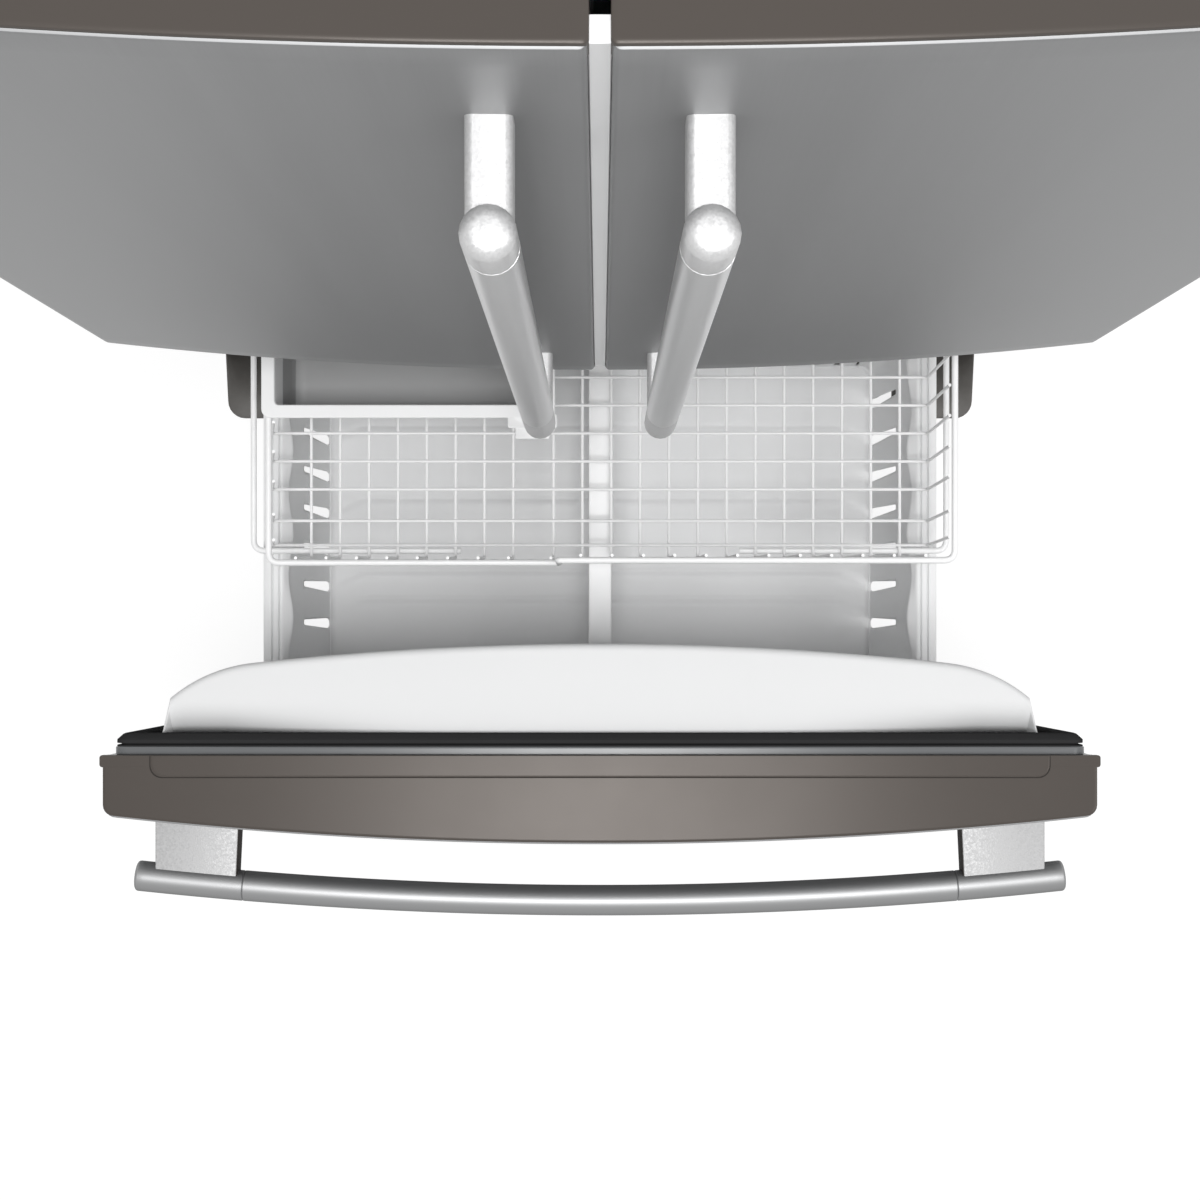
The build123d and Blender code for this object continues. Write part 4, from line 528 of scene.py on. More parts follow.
# Steel skins: one sheet of brushed stainless steel for each door and for the drawer front.
# Each is bowed as a part of one wide curve over the whole front.
# The sheet is folded back at both sides and hemmed over the plastic caps at its top and bottom.
brushed, given, out = shared_group(
    "brushed_steel", {"Colour": (0.4, 0.4, 0.4, 1), "Streak": 0.1, "Roughness": 0.3},
)
hairs = add(brushed, "TexNoise", {"Vector": given["Vector"], "Scale": 1.0, "Detail": 3.0, "Roughness": 0.7})
wide = add(brushed, "VectorMath", {0: given["Vector"], "Scale": 0.03}, operation="SCALE")
bands = add(brushed, "TexNoise", {"Vector": wide.outputs[0], "Scale": 1.0, "Detail": 2.0})
both = add(brushed, "Math", {0: hairs.outputs[0], 1: bands.outputs[0]}, operation="ADD")
vary(brushed, given, out, both.outputs[0], 1.0, given["Streak"], 0.08, given["Roughness"])
brushed.links.new(hairs.outputs[0], out["Height"])


def steel(name, colour, roughness, grain, streak, depth=0.004, **fixed):
    """Brushed steel: grain is how many hairs to the metre along X, Y and Z, few along the brushing."""
    values = {"Colour": colour, "Streak": streak, "Roughness": roughness}
    return make_finish(name, brushed, values, depth, stretch=grain, Metallic=1.0, **fixed)


skin_steel = steel("skin_steel", (0.27, 0.272, 0.275), 0.52, (700.0, 30.0, 5.0), 0.16)
FRONT_HALF = span("drawer_skin")[1][0]
SIDE_DEPTH, BOW = 55.0, 25.5
FRONT_RADIUS = (FRONT_HALF**2 + BOW**2) / (2 * BOW)
SKIN, STEEL_PROUD, DOOR_FORWARD = 0.8, 1.2, 2.9
SIDE_RETURN = 12.5
SKIN_HEM = ((8.0, 0.4), (1.5, 0.4), (0.4, 0.8), (0.0, 2.2))
OUTER_CORNER, INNER_CORNER = 10.0, 3.0
DOOR_CORNERS = {"left": (OUTER_CORNER, INNER_CORNER), "right": (INNER_CORNER, OUTER_CORNER)}
DRAWER_CORNERS = (OUTER_CORNER, OUTER_CORNER)


def front_at(x, back):
    """Where the bowed front is at x: on a circle of the front's radius through its most forward point."""
    return back - SIDE_DEPTH - BOW + FRONT_RADIUS - np.sqrt(FRONT_RADIUS**2 - np.asarray(x, float) ** 2)


def front_line(x0, x1, back, in_front, in_side, corners):
    """Plan of a door front from its back left corner round the bowed front to its back right corner."""
    left, right = x0 + in_side, x1 - in_side
    r0, r1 = corners
    first = edge_round(r0, 5) + (left, front_at(left + r0, back) + in_front)
    last = edge_round(r1, 5)[:, ::-1] * (-1, 1) + (right, front_at(right - r1, back) + in_front)
    across = np.linspace(left + r0, right - r1, 34)[1:-1]
    bow = at(across, front_at(across, back) + in_front)
    return np.concatenate([[[left, back]], first, bow, last, [[right, back]]])


def edged(low, high, edge, between=()):
    """Rows of inset and level: the edge's up from low, then those between, then the edge's down from high."""
    rows = [(inset, low + up) for inset, up in edge] + [(0.0, level) for level in between]
    return rows + [(inset, high - down) for inset, down in edge[::-1]]


def skin(low, high, corners, forward=0.0):
    """The folded sheet between two corners, from its lower to its upper hem, with a return at each side."""
    lines = []
    for inset, level in edged(low[2], high[2], SKIN_HEM, np.linspace(low[2] + 30, high[2] - 30, 6)):
        line = front_line(low[0], high[0], high[1] - 0.5, inset + 0.4 - forward, inset + STEEL_PROUD, corners)
        ends = line[:1] + (SIDE_RETURN, 0), line[-1:] - (SIDE_RETURN, 0)
        lines.append(lay(np.concatenate([ends[0], line, ends[1]]), level))
    return grid(np.array(lines))


for side, corners in DOOR_CORNERS.items():
    sheet = skin(*span(f"{side}_door_skin"), corners, DOOR_FORWARD)
    build(f"{side}_door_steel", [sheet], skin_steel, f"{side}_door", [f"{side}_door_skin"],
          wall=SKIN)
sheet = skin(*span("drawer_skin"), DRAWER_CORNERS)
build("drawer_steel", [sheet], skin_steel, "freezer_drawer", ["drawer_skin"], wall=SKIN)

# End caps: warm grey mouldings that close the top and bottom of each front, set back a little from the steel.
# On the drawer the upper cap also has a raised rail along its back and hooked ends.
CAP_HEIGHT = 22.0
CAP_EDGE = ((3.0, 0.0), (1.0, 0.0), (0.3, 0.3), (0.0, 1.0))


def cap(low, high, corners, forward=0.0):
    """A slab with the plan of the front, set back from the steel, with soft edges above and below."""
    return solid([
        lay(front_line(low[0], high[0], high[1], inset + STEEL_PROUD - forward, inset, corners), level)
        for inset, level in edged(low[2], high[2], CAP_EDGE)
    ])


def split_caps(node):
    """Corners of the lower and of the upper cap of a pair."""
    low, high = span(node)
    shorter = (0, 0, high[2] - low[2] - CAP_HEIGHT)
    return [(low, high - shorter), (low + shorter, high)]


for side, corners in DOOR_CORNERS.items():
    caps = [cap(*ends, corners, DOOR_FORWARD) for ends in split_caps(f"{side}_door_caps")]
    build(f"{side}_door_ends", caps, taupe, f"{side}_door", [f"{side}_door_caps"])
lower_cap, upper_cap = split_caps("drawer_caps")
RAIL_HALF, RAIL_DEPTH, RAIL_RISE, RAIL_CORNER = 409.0, 19.5, 0.9, 11.0
HOOK_OUT, HOOK_DEPTH, HOOK_THICK, HOOK_CORNER = 3.0, 11.0, 9.0, 2.6
SHADE_LINE_OUT, SHADE_LINE_RISE = 0.8, 0.3
cap_top, cap_back = upper_cap[1][2], upper_cap[1][1]


def on_cap(rows):
    """A rounded bar along the back of the drawer's cap, in rows of inset and height, cut off behind."""
    rows = [(inset, cap_top + up) for inset, up in rows]
    points = rings((RAIL_HALF, RAIL_DEPTH), (0, cap_back), rows, RAIL_CORNER)
    points[:, :, 1] = np.minimum(points[:, :, 1], cap_back - 0.2)
    return points


rail_edge = [(0.0, RAIL_RISE - 0.5), (0.2, RAIL_RISE - 0.15), (0.7, RAIL_RISE), (2.6, RAIL_RISE)]
rail = on_cap([(0.0, -3.0), *rail_edge])
hook_profile = ((1.0, -HOOK_THICK), (0.0, 1 - HOOK_THICK), (0.0, -0.6), (0.5, 0.1), (2.2, 0.1))
hook_rows = [(inset, cap_top + up) for inset, up in hook_profile]
hook_half, hook_middle = (FRONT_HALF + HOOK_OUT, HOOK_DEPTH / 2), (0, cap_back - HOOK_DEPTH / 2 + 0.5)
hook = rings(hook_half, hook_middle, hook_rows, HOOK_CORNER, sharpen=0.5)
drawer_ends = [cap(*lower_cap, DRAWER_CORNERS), cap(*upper_cap, DRAWER_CORNERS), solid(rail), solid(hook)]
build("drawer_ends", drawer_ends, taupe, "freezer_drawer", ["drawer_caps"])
# A thin dark ring round the rail, a little proud of the cap, is painted shade: it draws the shaded line where
# the rail meets the cap.
shade_line_rings = on_cap([(0.0, 0.0), (0.0, SHADE_LINE_RISE), (-SHADE_LINE_OUT, SHADE_LINE_RISE), (-SHADE_LINE_OUT, 0.0)])
seam = grid(shade_line_rings, wrap_u=True, wrap_v=True)
# This dark plastic is painted shade, here and on the inner sides of the drawer brackets.
painted_shade_plastic = plastic("painted_shade_plastic", (0.04, 0.036, 0.033), 0.7, depth=0.01, shine=0.05)
build("drawer_rail_painted_shade", [seam], painted_shade_plastic, "freezer_drawer")

# Gaskets: soft dark frames that snap into a slot of the flange.
# Each has a hollow bellows and a magnet strip that meets the case.
# The profile runs round the frame with round corners; each of its points is an offset outward and a depth.
BELLOWS = np.array([
    (0.0, 0.0), (0.4, 0.6), (0.0, 1.2), (-4.0, 1.6), (-4.0, 2.4), (0.0, 2.9), (0.2, 3.4), (0.2, 6.0),
    (-0.5, 6.8), (-5.5, 11.2), (-7.5, 12.0), (-19.0, 12.0), (-20.0, 11.0), (-20.0, 8.6), (-16.5, 7.6),
    (-16.0, 6.2), (-18.5, 4.0), (-18.0, 2.0), (-20.0, 1.2), (-35.0, 0.8), (-35.0, 0.0),
])
GASKET_CORNER, DRAWER_GASKET_WIDER = 14.0, 4.5


def gasket(low, high):
    """The bellows profile carried round a frame that just fills the box low to high, seen from the front."""
    depth = (high[1] - low[1]) / BELLOWS[:, 1].max()
    rows = [(-out_by, low[1] + y * depth) for out_by, y in BELLOWS]
    half, middle = (high - low)[[0, 2]] / 2 - BELLOWS[:, 0].max(), (high + low)[[0, 2]] / 2
    points = rings(half, middle, rows, GASKET_CORNER, sharpen=1.0, least=1.0, axis="y")
    return grid(points, wrap_u=True, wrap_v=True)


for name, body, wider in (
    ("left_door", "left_door", 0.0), ("right_door", "right_door", 0.0),
    ("drawer", "freezer_drawer", DRAWER_GASKET_WIDER),
):
    low, high = span(f"{name}_gasket")
    frame_seal = gasket(low - (wider, 0, 0), high + (wider, 0, 0))
    build(f"{name}_seal", [frame_seal], rubber, body, [f"{name}_gasket"])

# Door insides: white liners with upright ribs and clear bins between the ribs.
# Each door has three bins, spread evenly over its height, and the left door carries the folding mullion.
coat(liner_white, "left_door_liner", "right_door_liner")
coat(plastic("mullion_plastic", (0.86, 0.863, 0.866), 0.4, depth=0.03), "door_mullion")
BINS, BIN_HEIGHT = 3, 95.0
for side in ("left", "right"):
    low, high = span(f"{side}_door_bins")
    bins = []
    for level in np.linspace(low[2], high[2] - BIN_HEIGHT, BINS):
        ends = np.array([*low[:2], level]), np.array([*high[:2], level + BIN_HEIGHT])
        bins.append(tub(*ends, taper=6.0, wall=2.2, corner=10.0, rim=3.0))
    door = f"{side}_door"
    build(f"{door}_shelves", bins, clear_plastic, door, [f"{door}_bins"])

# Slit strip: a soft white strip along the inner edge of the left door that closes the slit between the doors.
# It is a flat bar with rounded edges, nearly flush with the steel, and it is painted light:
# it makes the slit read bright, standing in for the lit mullion seen deep through it.
LIP_OVER, LIP_BEHIND, LIP_DEPTH, LIP_EDGE = 0.6, 3.0, 12.0, 0.4
lip_low, lip_high = span("left_door_skin")
lip_ends = lip_high[0] - LIP_OVER, span("right_door_skin")[0][0] + LIP_OVER
lip_front = front_at(0.0, lip_high[1]) - DOOR_FORWARD + LIP_BEHIND
lip_rows = [(LIP_OVER, lip_front), (0.0, lip_front + 0.8), (0.0, lip_front + LIP_DEPTH)]
lip_half = ((lip_ends[1] - lip_ends[0]) / 2, (lip_high[2] - lip_low[2]) / 2 - 2.0)
lip_middle = (sum(lip_ends) / 2, (lip_high[2] + lip_low[2]) / 2)
slit_light_strip = solid(rings(lip_half, lip_middle, lip_rows, LIP_EDGE, axis="y"))
build("door_slit_light_strip", [slit_light_strip], white_plastic, "left_door")

# Door handles: round brushed bars in three lengths that butt at fine seams, each on two short standoffs.
# A bar is circles carried along its line; the circle shrinks at each seam and at the round ends.
SEAM_HALF, SEAM_DEPTH, END_ROUND = 0.5, 0.7, 3.0
SEAM_EDGE, SEAM_CHAMFER = 0.3, 1.1
LOWER_END, UPPER_END, BAR_END_ROUND = 100.0, 40.0, 7.0
POST_HALF, POST_ROUND, POST_FROM_END = (11.5, 13.0), 4.0, 25.0


def bar(path, radius, across, sides):
    """Circles of the given radius, one value or one for each point, across a flat path with that normal."""
    path = np.asarray(path, float)
    along = np.gradient(path, axis=0)
    along /= np.linalg.norm(along, axis=1, keepdims=True)
    first = np.cross(along, across)
    first /= np.linalg.norm(first, axis=1, keepdims=True)
    second = np.cross(first, along)
    turn = np.linspace(0, 2 * math.pi, sides, endpoint=False)[:, None]
    size = np.broadcast_to(np.asarray(radius, float), len(path))[:, None, None]
    return solid(path[:, None] + size * (first[:, None] * np.cos(turn) + second[:, None] * np.sin(turn)))


def round_tip(radius, rounding):
    """Places and radii at the round end of a bar."""
    return [(inset, radius - drop) for inset, drop in edge_round(rounding, 4)]


def upright(centre, levels, sizes, sides):
    """A round bar that stands on the centre of its plan, through those levels and with those radii."""
    return bar([(*centre, level) for level in levels], sizes, (0.0, 1.0, 0.0), sides)


upright_steel = steel("upright_bar_steel", (0.7, 0.702, 0.705), 0.3, (800.0, 800.0, 6.0), 0.03, depth=0.0006)
cast_silver = crystal_metal("cast_silver", (0.6, 0.6, 0.603), size=900.0, contrast=0.12, metallic=0.5)
for side in ("left", "right"):
    door, handle = f"{side}_door", f"{side}_door_handle"
    low, high = span(handle)
    radius = (high[0] - low[0]) / 2
    centre = ((low[0] + high[0]) / 2, low[1] + radius)
    z0, z1 = low[2] + LOWER_END, high[2] - UPPER_END
    levels = [z0 + SEAM_EDGE, z0 + 0.8, *np.linspace(z0 + 5, z1 - 5, 9), z1 - 0.8, z1 - SEAM_EDGE]
    sizes = np.full(len(levels), radius)
    sizes[[0, -1]] -= SEAM_CHAMFER
    build(f"{door}_bar", [upright(centre, levels, sizes, 32)], upright_steel, door, [handle])
    ends = []
    for start, way, length in ((low[2], 1, LOWER_END), (high[2], -1, UPPER_END)):
        seam_end = [(length - 0.8, radius), (length, radius - SEAM_CHAMFER)]
        distances, sizes = np.array(round_tip(radius, BAR_END_ROUND) + seam_end).T
        ends.append(upright(centre, start + way * distances, sizes, 20))
    build(f"{door}_bar_ends", ends, cast_silver, door, [handle])
    depths = [(0.0, y) for y in (high[1] + 0.5, high[1] - 8.0, centre[1] + radius * 0.5)]
    posts = [solid(rings(POST_HALF, (centre[0], z), depths, POST_ROUND, axis="y"))
             for z in (low[2] + POST_FROM_END, high[2] - POST_FROM_END)]
    build(f"{door}_standoffs", posts, cast_silver, door, [handle])

# Drawer liner: a grey flange against the foam, and a white moulding that swells into the freezer.
# Its plan is a wide arc with tapered ends and round corners, and its top edge is rolled over.
FLANGE_WIDER, FLANGE_CORNER = 5.0, 12.0
liner_low, liner_high = span("drawer_liner")
flange_back = span("drawer_gasket")[0][1]
flange_rows = [(inset, liner_low[1] + y) for inset, y in ((0.8, 0.0), (0.0, 0.8), (0.0, 2.0))]
flange_rows += [(inset, flange_back - y) for inset, y in ((0.0, 2.0), (0.0, 1.0), (0.6, 0.2), (16.0, 0.2))]
flange_half = (liner_high[0] + FLANGE_WIDER, (liner_high[2] - liner_low[2]) / 2)
flange_middle = (0, (liner_high[2] + liner_low[2]) / 2)
flange = rings(flange_half, flange_middle, flange_rows, FLANGE_CORNER, sharpen=1.0, least=4.0, axis="y")
flange_grey = plastic("flange_plastic", (0.14, 0.145, 0.15), 0.24, depth=0.004, mottle=0.04, shine=0.3)
build("drawer_flange", [solid(flange)], flange_grey, "freezer_drawer", ["drawer_liner"])
BULGE_HALF, BULGE_TIP, BULGE_BEND = 406.5, 397.0, 322.0
BULGE_RADIUS, BULGE_END_RADIUS = 2900.0, 142.0
BULGE_TOP, BULGE_BOTTOM, BULGE_ROLL = 665.0, 352.0, 7.0
FALL_LENGTH, FALL_DEPTH, FALL_FROM, FALL_OVER = 44.0, 92.0, 120.0, 230.0
bulge_start, bulge_crest = flange_back - 1.0, liner_high[1]
stretches = ((0, BULGE_BEND, 26), (BULGE_BEND, BULGE_TIP, 13), (BULGE_TIP, BULGE_HALF, 8))
away = np.concatenate([[0.0]] + [np.linspace(*stretch)[1:] for stretch in stretches])
x = np.concatenate([-away[:0:-1], away])
away = np.abs(x)
bend = math.asin(BULGE_BEND / BULGE_RADIUS)
end_middle = (BULGE_RADIUS - BULGE_END_RADIUS) * np.array([math.sin(bend), math.cos(bend)])
end_away = np.minimum(away, BULGE_TIP) - end_middle[0]
bowed = bulge_crest - BULGE_RADIUS + np.where(
    away < BULGE_BEND, np.sqrt(BULGE_RADIUS**2 - away**2),
    end_middle[1] + np.sqrt(np.maximum(BULGE_END_RADIUS**2 - end_away**2, 0)),
)
side_share = np.clip((away - BULGE_TIP) / (BULGE_HALF - BULGE_TIP), 0, 1)
crest = bowed + (bulge_start + 3.0 - bowed) * side_share
roll = np.minimum(BULGE_ROLL, (crest - bulge_start) * 0.4)
fall = FALL_DEPTH * np.clip((away - FALL_FROM) / FALL_OVER, 0, 1) ** 2
fall_length = np.minimum(FALL_LENGTH, crest - bulge_start - roll - 0.5)
columns = [(crest, BULGE_BOTTOM), (crest, BULGE_TOP - 60.0)]
columns += [(crest - roll * inset, BULGE_TOP - roll * drop) for inset, drop in edge_round(1.0, 6)]
columns += [(bulge_start + fall_length * (1 - t), BULGE_TOP - fall * (1 - math.sqrt(1 - (0.97 * t) ** 2)))
            for t in np.linspace(0, 1, 12)]
columns.append((bulge_start, BULGE_BOTTOM))
bulge = solid(np.stack([at(x, y, z) for y, z in columns], 1))
build("drawer_bulge", [bulge], liner_white, "freezer_drawer", ["drawer_liner"], crease=30)

# Foam of the fronts: a block behind each skin, and on the drawer a second one in the hollow of the liner.
# Every block is a plan raised straight up: the bowed front, or the liner's bow moved inward.
# The second block of the drawer stops under the liner's falling ends.
FOAM_GAP, FOAM_UNDER = 3.0, 96.0


def raised(plan, bottom, top):
    """A plan raised straight up from one level to another."""
    return solid([lay(plan, bottom), lay(plan, top)])


def front_foam(node, low_x, high_x, back, corners):
    """A block as high as the node, a gap inside the plan of the front."""
    low, high = span(node)
    plan = front_line(low_x + FOAM_GAP, high_x - FOAM_GAP, back - FOAM_GAP, FOAM_GAP, 0.0, corners)
    return raised(plan, low[2] + 1, high[2] - 1)


inner = away < BULGE_TIP - 2 * FOAM_GAP
swell_x = x[inner]
swell_ends = [[swell_x[-1], cap_back - FOAM_GAP], [swell_x[0], cap_back - FOAM_GAP]]
swell_plan = np.concatenate([at(swell_x, crest[inner] - FOAM_GAP), swell_ends])
drawer_foam = [front_foam("drawer_insulation", -FRONT_HALF, FRONT_HALF, cap_back, DRAWER_CORNERS),
               raised(swell_plan, BULGE_BOTTOM + FOAM_GAP, BULGE_TOP - FOAM_UNDER)]
build("drawer_foam", drawer_foam, foam, "freezer_drawer", ["drawer_insulation"])
for side, corners in DOOR_CORNERS.items():
    low, high = span(f"{side}_door_skin")
    block = front_foam(f"{side}_door_insulation", low[0], high[0], high[1], corners)
    build(f"{side}_door_foam", [block], foam, f"{side}_door", [f"{side}_door_insulation"])

# Drawer handle: a heavy brushed bar in three lengths that follows the bow of the front.
# Two broad silver brackets hold it, each with a thin dark strip on its inner side that is painted shade,
# darkening that side where shade falls.
# Its grey edge tint is painted shade: it darkens the bar's grazing reflections on its lower side, standing in
# for a darker floor in front.
level_steel = steel("level_bar_steel", (0.3, 0.302, 0.305), 0.46, (6.0, 900.0, 900.0), 0.06, depth=0.002,
                    **{"Specular Tint": (0.4, 0.4, 0.4)})
silver = crystal_metal("bracket_silver", (0.42, 0.42, 0.423), size=620.0, metallic=0.1, depth=0.04)
low, high = span("drawer_handle")
HANDLE_RADIUS, HANDLE_HALF, SEAM_AT = (high[2] - low[2]) / 2, 437.5, 336.5
BRACKET_IN, BRACKET_OUT, BRACKET_NARROW, SHADE_STRIP = 339.5, 418.0, 3.0, 0.8
handle_z, handle_front = (low[2] + high[2]) / 2, low[1] + HANDLE_RADIUS
arc_radius = FRONT_RADIUS + 60.0
reach = arc_radius * math.asin(HANDLE_HALF / arc_radius)


def bar_sizes(length, radius, seams):
    """Places along a bar and its radius there: round at both ends, and a fine groove at each seam."""
    ends = round_tip(radius, END_ROUND)
    marks = [(s, radius) for s in np.linspace(END_ROUND + 6, length - END_ROUND - 6, 40)]
    marks = [m for m in marks if all(abs(m[0] - s) > 2 for s in seams)]
    slope = ((SEAM_HALF, 0.3), (SEAM_HALF + SEAM_EDGE, 0.0))
    groove = [(0.0, SEAM_DEPTH)] + [(way * off, depth) for way in (-1, 1) for off, depth in slope]
    marks += [(s + off, radius - depth) for s in seams for off, depth in groove]
    return np.array(sorted(ends + marks + [(length - s, r) for s, r in ends])).T


along, sizes = bar_sizes(2 * reach, HANDLE_RADIUS, (reach - SEAM_AT, reach + SEAM_AT))
angle = (along - reach) / arc_radius
path = at(arc_radius * np.sin(angle), handle_front + arc_radius * (1 - np.cos(angle)), handle_z)
handle = bar(path, sizes, (0.0, 0.0, 1.0), 36)
build("drawer_bar", [handle], level_steel, "freezer_drawer", ["drawer_handle"])


def bracket(side, x0, x1, half_z):
    """A block between x0 and x1 from the skin to the bar, a little narrower there, with a rounded section."""
    section = rounded((x1 - x0) / 2, half_z, min(1.2, (x1 - x0) / 2.2))
    share = section[:, 0] / (x1 - x0) + 0.5
    lines = []
    for part in (0.0, 0.5, 1.0):
        narrow = part * BRACKET_NARROW
        across = x0 + narrow + (x1 - x0 - narrow * (x1 == BRACKET_OUT)) * share
        skin_y = front_at(across, span("drawer_skin")[1][1]) + 3.0
        bar_y = handle_front + arc_radius - np.sqrt(arc_radius**2 - across**2)
        lines.append(at(side * across, skin_y + (bar_y - skin_y) * part, handle_z + section[:, 1]))
    return solid(lines)


low, high = span("drawer_handle_brackets")
half_z = (high[2] - low[2]) / 2
# Each bracket's inner side is covered by a thin strip of the dark plastic: painted shade for that side.
shade_strips = [bracket(side, BRACKET_IN - SHADE_STRIP, BRACKET_IN + 0.3, half_z - 0.2) for side in (-1, 1)]
build("drawer_bracket_painted_shade", shade_strips, painted_shade_plastic, "freezer_drawer")
brackets = [bracket(side, BRACKET_IN, BRACKET_OUT, half_z) for side in (-1, 1)]
build("drawer_brackets", brackets, silver, "freezer_drawer", ["drawer_handle_brackets"])

# Lower bin: a deep white tub with fluted, slotted sides and a broad edge that rests on the slides.
# Rings go from the floor up the walls and out over the edge, where they dip into two fine grooves.
# The quads of each slot are left out.
bin_low, bin_high = span("lower_bin")
BIN_MIDDLE = (bin_low[1] + bin_high[1]) / 2
BIN_WALL = 1.8
SLOT_PITCH, LOBE_PITCH = 42.9, 90.4
SIDE_SLOTS = -391.0 + SLOT_PITCH * np.arange(7) - BIN_MIDDLE
BACK_SLOTS = np.linspace(-302.6, 302.6, 25)
SLOT_SIZES = ((12.5, 6.0), (7.0, 4.5))
SLOT_TOP, SLOT_END = 255.0, 0.35
FLOOR_LEVEL = bin_low[2] + BIN_WALL / 2
FLOOR_HALF_X, FLOOR_HALF_Y, FLOOR_CORNER = 311.0, 178.0, 8.0
FOOT_OUT, FOOT_ROUND, FOOT_STEPS = 5.0, 3.0, 8
WALL_LEAN = 0.094
SIDE_OUT, BACK_OUT, EDGE_SHARE = 29.6, 19.6, 0.515
FLUTE_DEPTH, LOBE_DEPTH = 1.2, 5.5
RIM = bin_high[2] - BIN_WALL / 2


def stations(slots, end, fill):
    """Places along one straight wall and the side of a slot each belongs to: -1 and 1 at a slot, else 0."""
    places, signs = [-end], [0]
    for before, stop in zip([-end, *slots], [*slots, end]):
        places += list(np.linspace(before, stop, fill + 2)[1:-1])
        signs += [0] * fill
        if stop < end:
            places += [stop, stop]
            signs += [-1, 1]
    return np.array(places + [end]), np.array(signs + [0])


side_run = stations(SIDE_SLOTS, FLOOR_HALF_Y - FLOOR_CORNER, 5)
back_run = stations(BACK_SLOTS, FLOOR_HALF_X - FLOOR_CORNER, 2)
corner_turn = np.linspace(0, math.pi / 2, 8)[1:-1]


def along_wall(run, end, width):
    """A run's places with its slots opened to the width and its ends moved to where the corners begin."""
    places = run[0] + run[1] * width / 2
    places[0], places[-1] = -end, end
    return places


def bin_ring(half_x, half_y, corner, level, side_width, back_width):
    """One ring of the bin, anticlockwise: right, back, left and front wall, each followed by its corner."""
    side = along_wall(side_run, half_y - corner, side_width)
    back = along_wall(back_run, half_x - corner, back_width)
    front = np.linspace(-1, 1, 24) * (half_x - corner)
    sides = [at(half_x, side), at(-back, half_y), at(-half_x, side[::-1]), at(front, -half_y)]
    arcs = corner_arcs(half_x, half_y, corner, corner_turn)
    return lay(np.concatenate([part for pair in zip(sides, arcs) for part in pair]), level)


# Rows of the wall: its distance out from the floor's edge, its level, and how far lobes lean in there.
foot_out = FOOT_OUT + FOOT_ROUND
foot_level = FLOOR_LEVEL + FOOT_ROUND
bin_rows = [(foot_out - drop, FLOOR_LEVEL + rise, 0.0) for rise, drop in edge_round(FOOT_ROUND, FOOT_STEPS)]
wall_levels = [139.0, 142.0, 148.0, 160.0, 180.0, 200.0, 220.0, 235.0, 243.0, 248.0, 251.0, 253.2, 254.4]
wall_levels += [SLOT_TOP, 262.0, 275.0, 290.0, 305.0]
bin_rows += [(foot_out + WALL_LEAN * (z - foot_level), z, 0.0) for z in wall_levels]
bin_rows += [(26.0, 316.0, 0.1), (26.2, 324.0, 0.45), (26.0, 330.0, 0.85), (25.8, 333.6, 1.0),
             (26.2, 335.2, 1.0), (27.2, 336.6, 0.85), (28.2, 338.8, 0.4), (SIDE_OUT, 341.2, 0.0)]
bin_rows += [(out_by, RIM - drop, 0.0) for out_by, drop in (
    (31.0, 0.0), (32.2, 0.0), (34.0, 3.2), (35.8, 0.0), (39.6, 0.0), (41.4, 3.2),
    (43.2, 0.0), (49.0, 0.0), (50.0, 0.8), (50.0, 7.0),
)]
outs, levels, leans = np.array(bin_rows).T
run_length = np.concatenate([[0], np.cumsum(np.hypot(np.diff(outs), np.diff(levels)))])
slot_from, back_from, slot_to = 4, FOOT_STEPS, int(np.flatnonzero(levels == SLOT_TOP)[0])
slot_start, slot_stop = run_length[slot_from], run_length[slot_to]
bin_lines = []
for i, (out_by, level) in enumerate(zip(outs, levels)):
    share = np.clip((run_length[i] - slot_start) / (slot_stop - slot_start), 0, 1)
    to_end = min(abs(run_length[i] - slot_start), abs(run_length[i] - slot_stop))
    widths = []
    for wide, narrow in SLOT_SIZES:
        width = wide + (narrow - wide) * share
        inside = min(to_end / (width / 2), 1) if slot_from <= i <= slot_to else 0.0
        widths.append(width * (SLOT_END + (1 - SLOT_END) * math.sqrt(1 - (1 - inside) ** 2)))
    over = max(out_by - SIDE_OUT, 0)
    steeper = min(out_by, SIDE_OUT) * BACK_OUT / SIDE_OUT + over * EDGE_SHARE + 2.0
    out_y = out_by if i <= FOOT_STEPS else steeper
    corner = FLOOR_CORNER + min(out_by, 8.0) * 0.5
    bin_lines.append(bin_ring(FLOOR_HALF_X + out_by, FLOOR_HALF_Y + out_y, corner, level, *widths))
bin_points = np.array(bin_lines) + (0, BIN_MIDDLE, 0)
side_count, turn_count = len(side_run[0]), len(corner_turn)
first_back = side_count + turn_count
first_left = first_back + len(back_run[0]) + turn_count
on_side = np.zeros(bin_points.shape[1], bool)
on_side[:side_count] = on_side[first_left:first_left + side_count] = True
along_y = bin_points[:, :, 1]
lobe = np.cos(math.pi * (along_y + 387.0) / LOBE_PITCH) ** 2
flute = np.cos(math.pi * (along_y - BIN_MIDDLE - SIDE_SLOTS[0]) / SLOT_PITCH) ** 2 - 0.5
fluted = np.clip((levels - 150.0) / 30.0, 0, 1) * np.clip((300.0 - levels) / 30.0, 0, 1)
inward = LOBE_DEPTH * lobe * leans[:, None] - FLUTE_DEPTH * flute * fluted[:, None]
bin_points[:, :, 0] -= np.where(on_side, np.sign(bin_points[:, :, 0]) * inward, 0)
side_gaps, back_gaps = np.flatnonzero(side_run[1] == -1), np.flatnonzero(back_run[1] == -1)
left_gaps = first_left + side_count - 2 - side_gaps
keep = np.ones((bin_points.shape[0] - 1, bin_points.shape[1]), bool)
keep[np.ix_(np.arange(slot_from, slot_to), np.concatenate([side_gaps, left_gaps]))] = False
keep[np.ix_(np.arange(back_from, slot_to), first_back + back_gaps)] = False
walls = grid(bin_points, wrap_v=True, keep=keep)

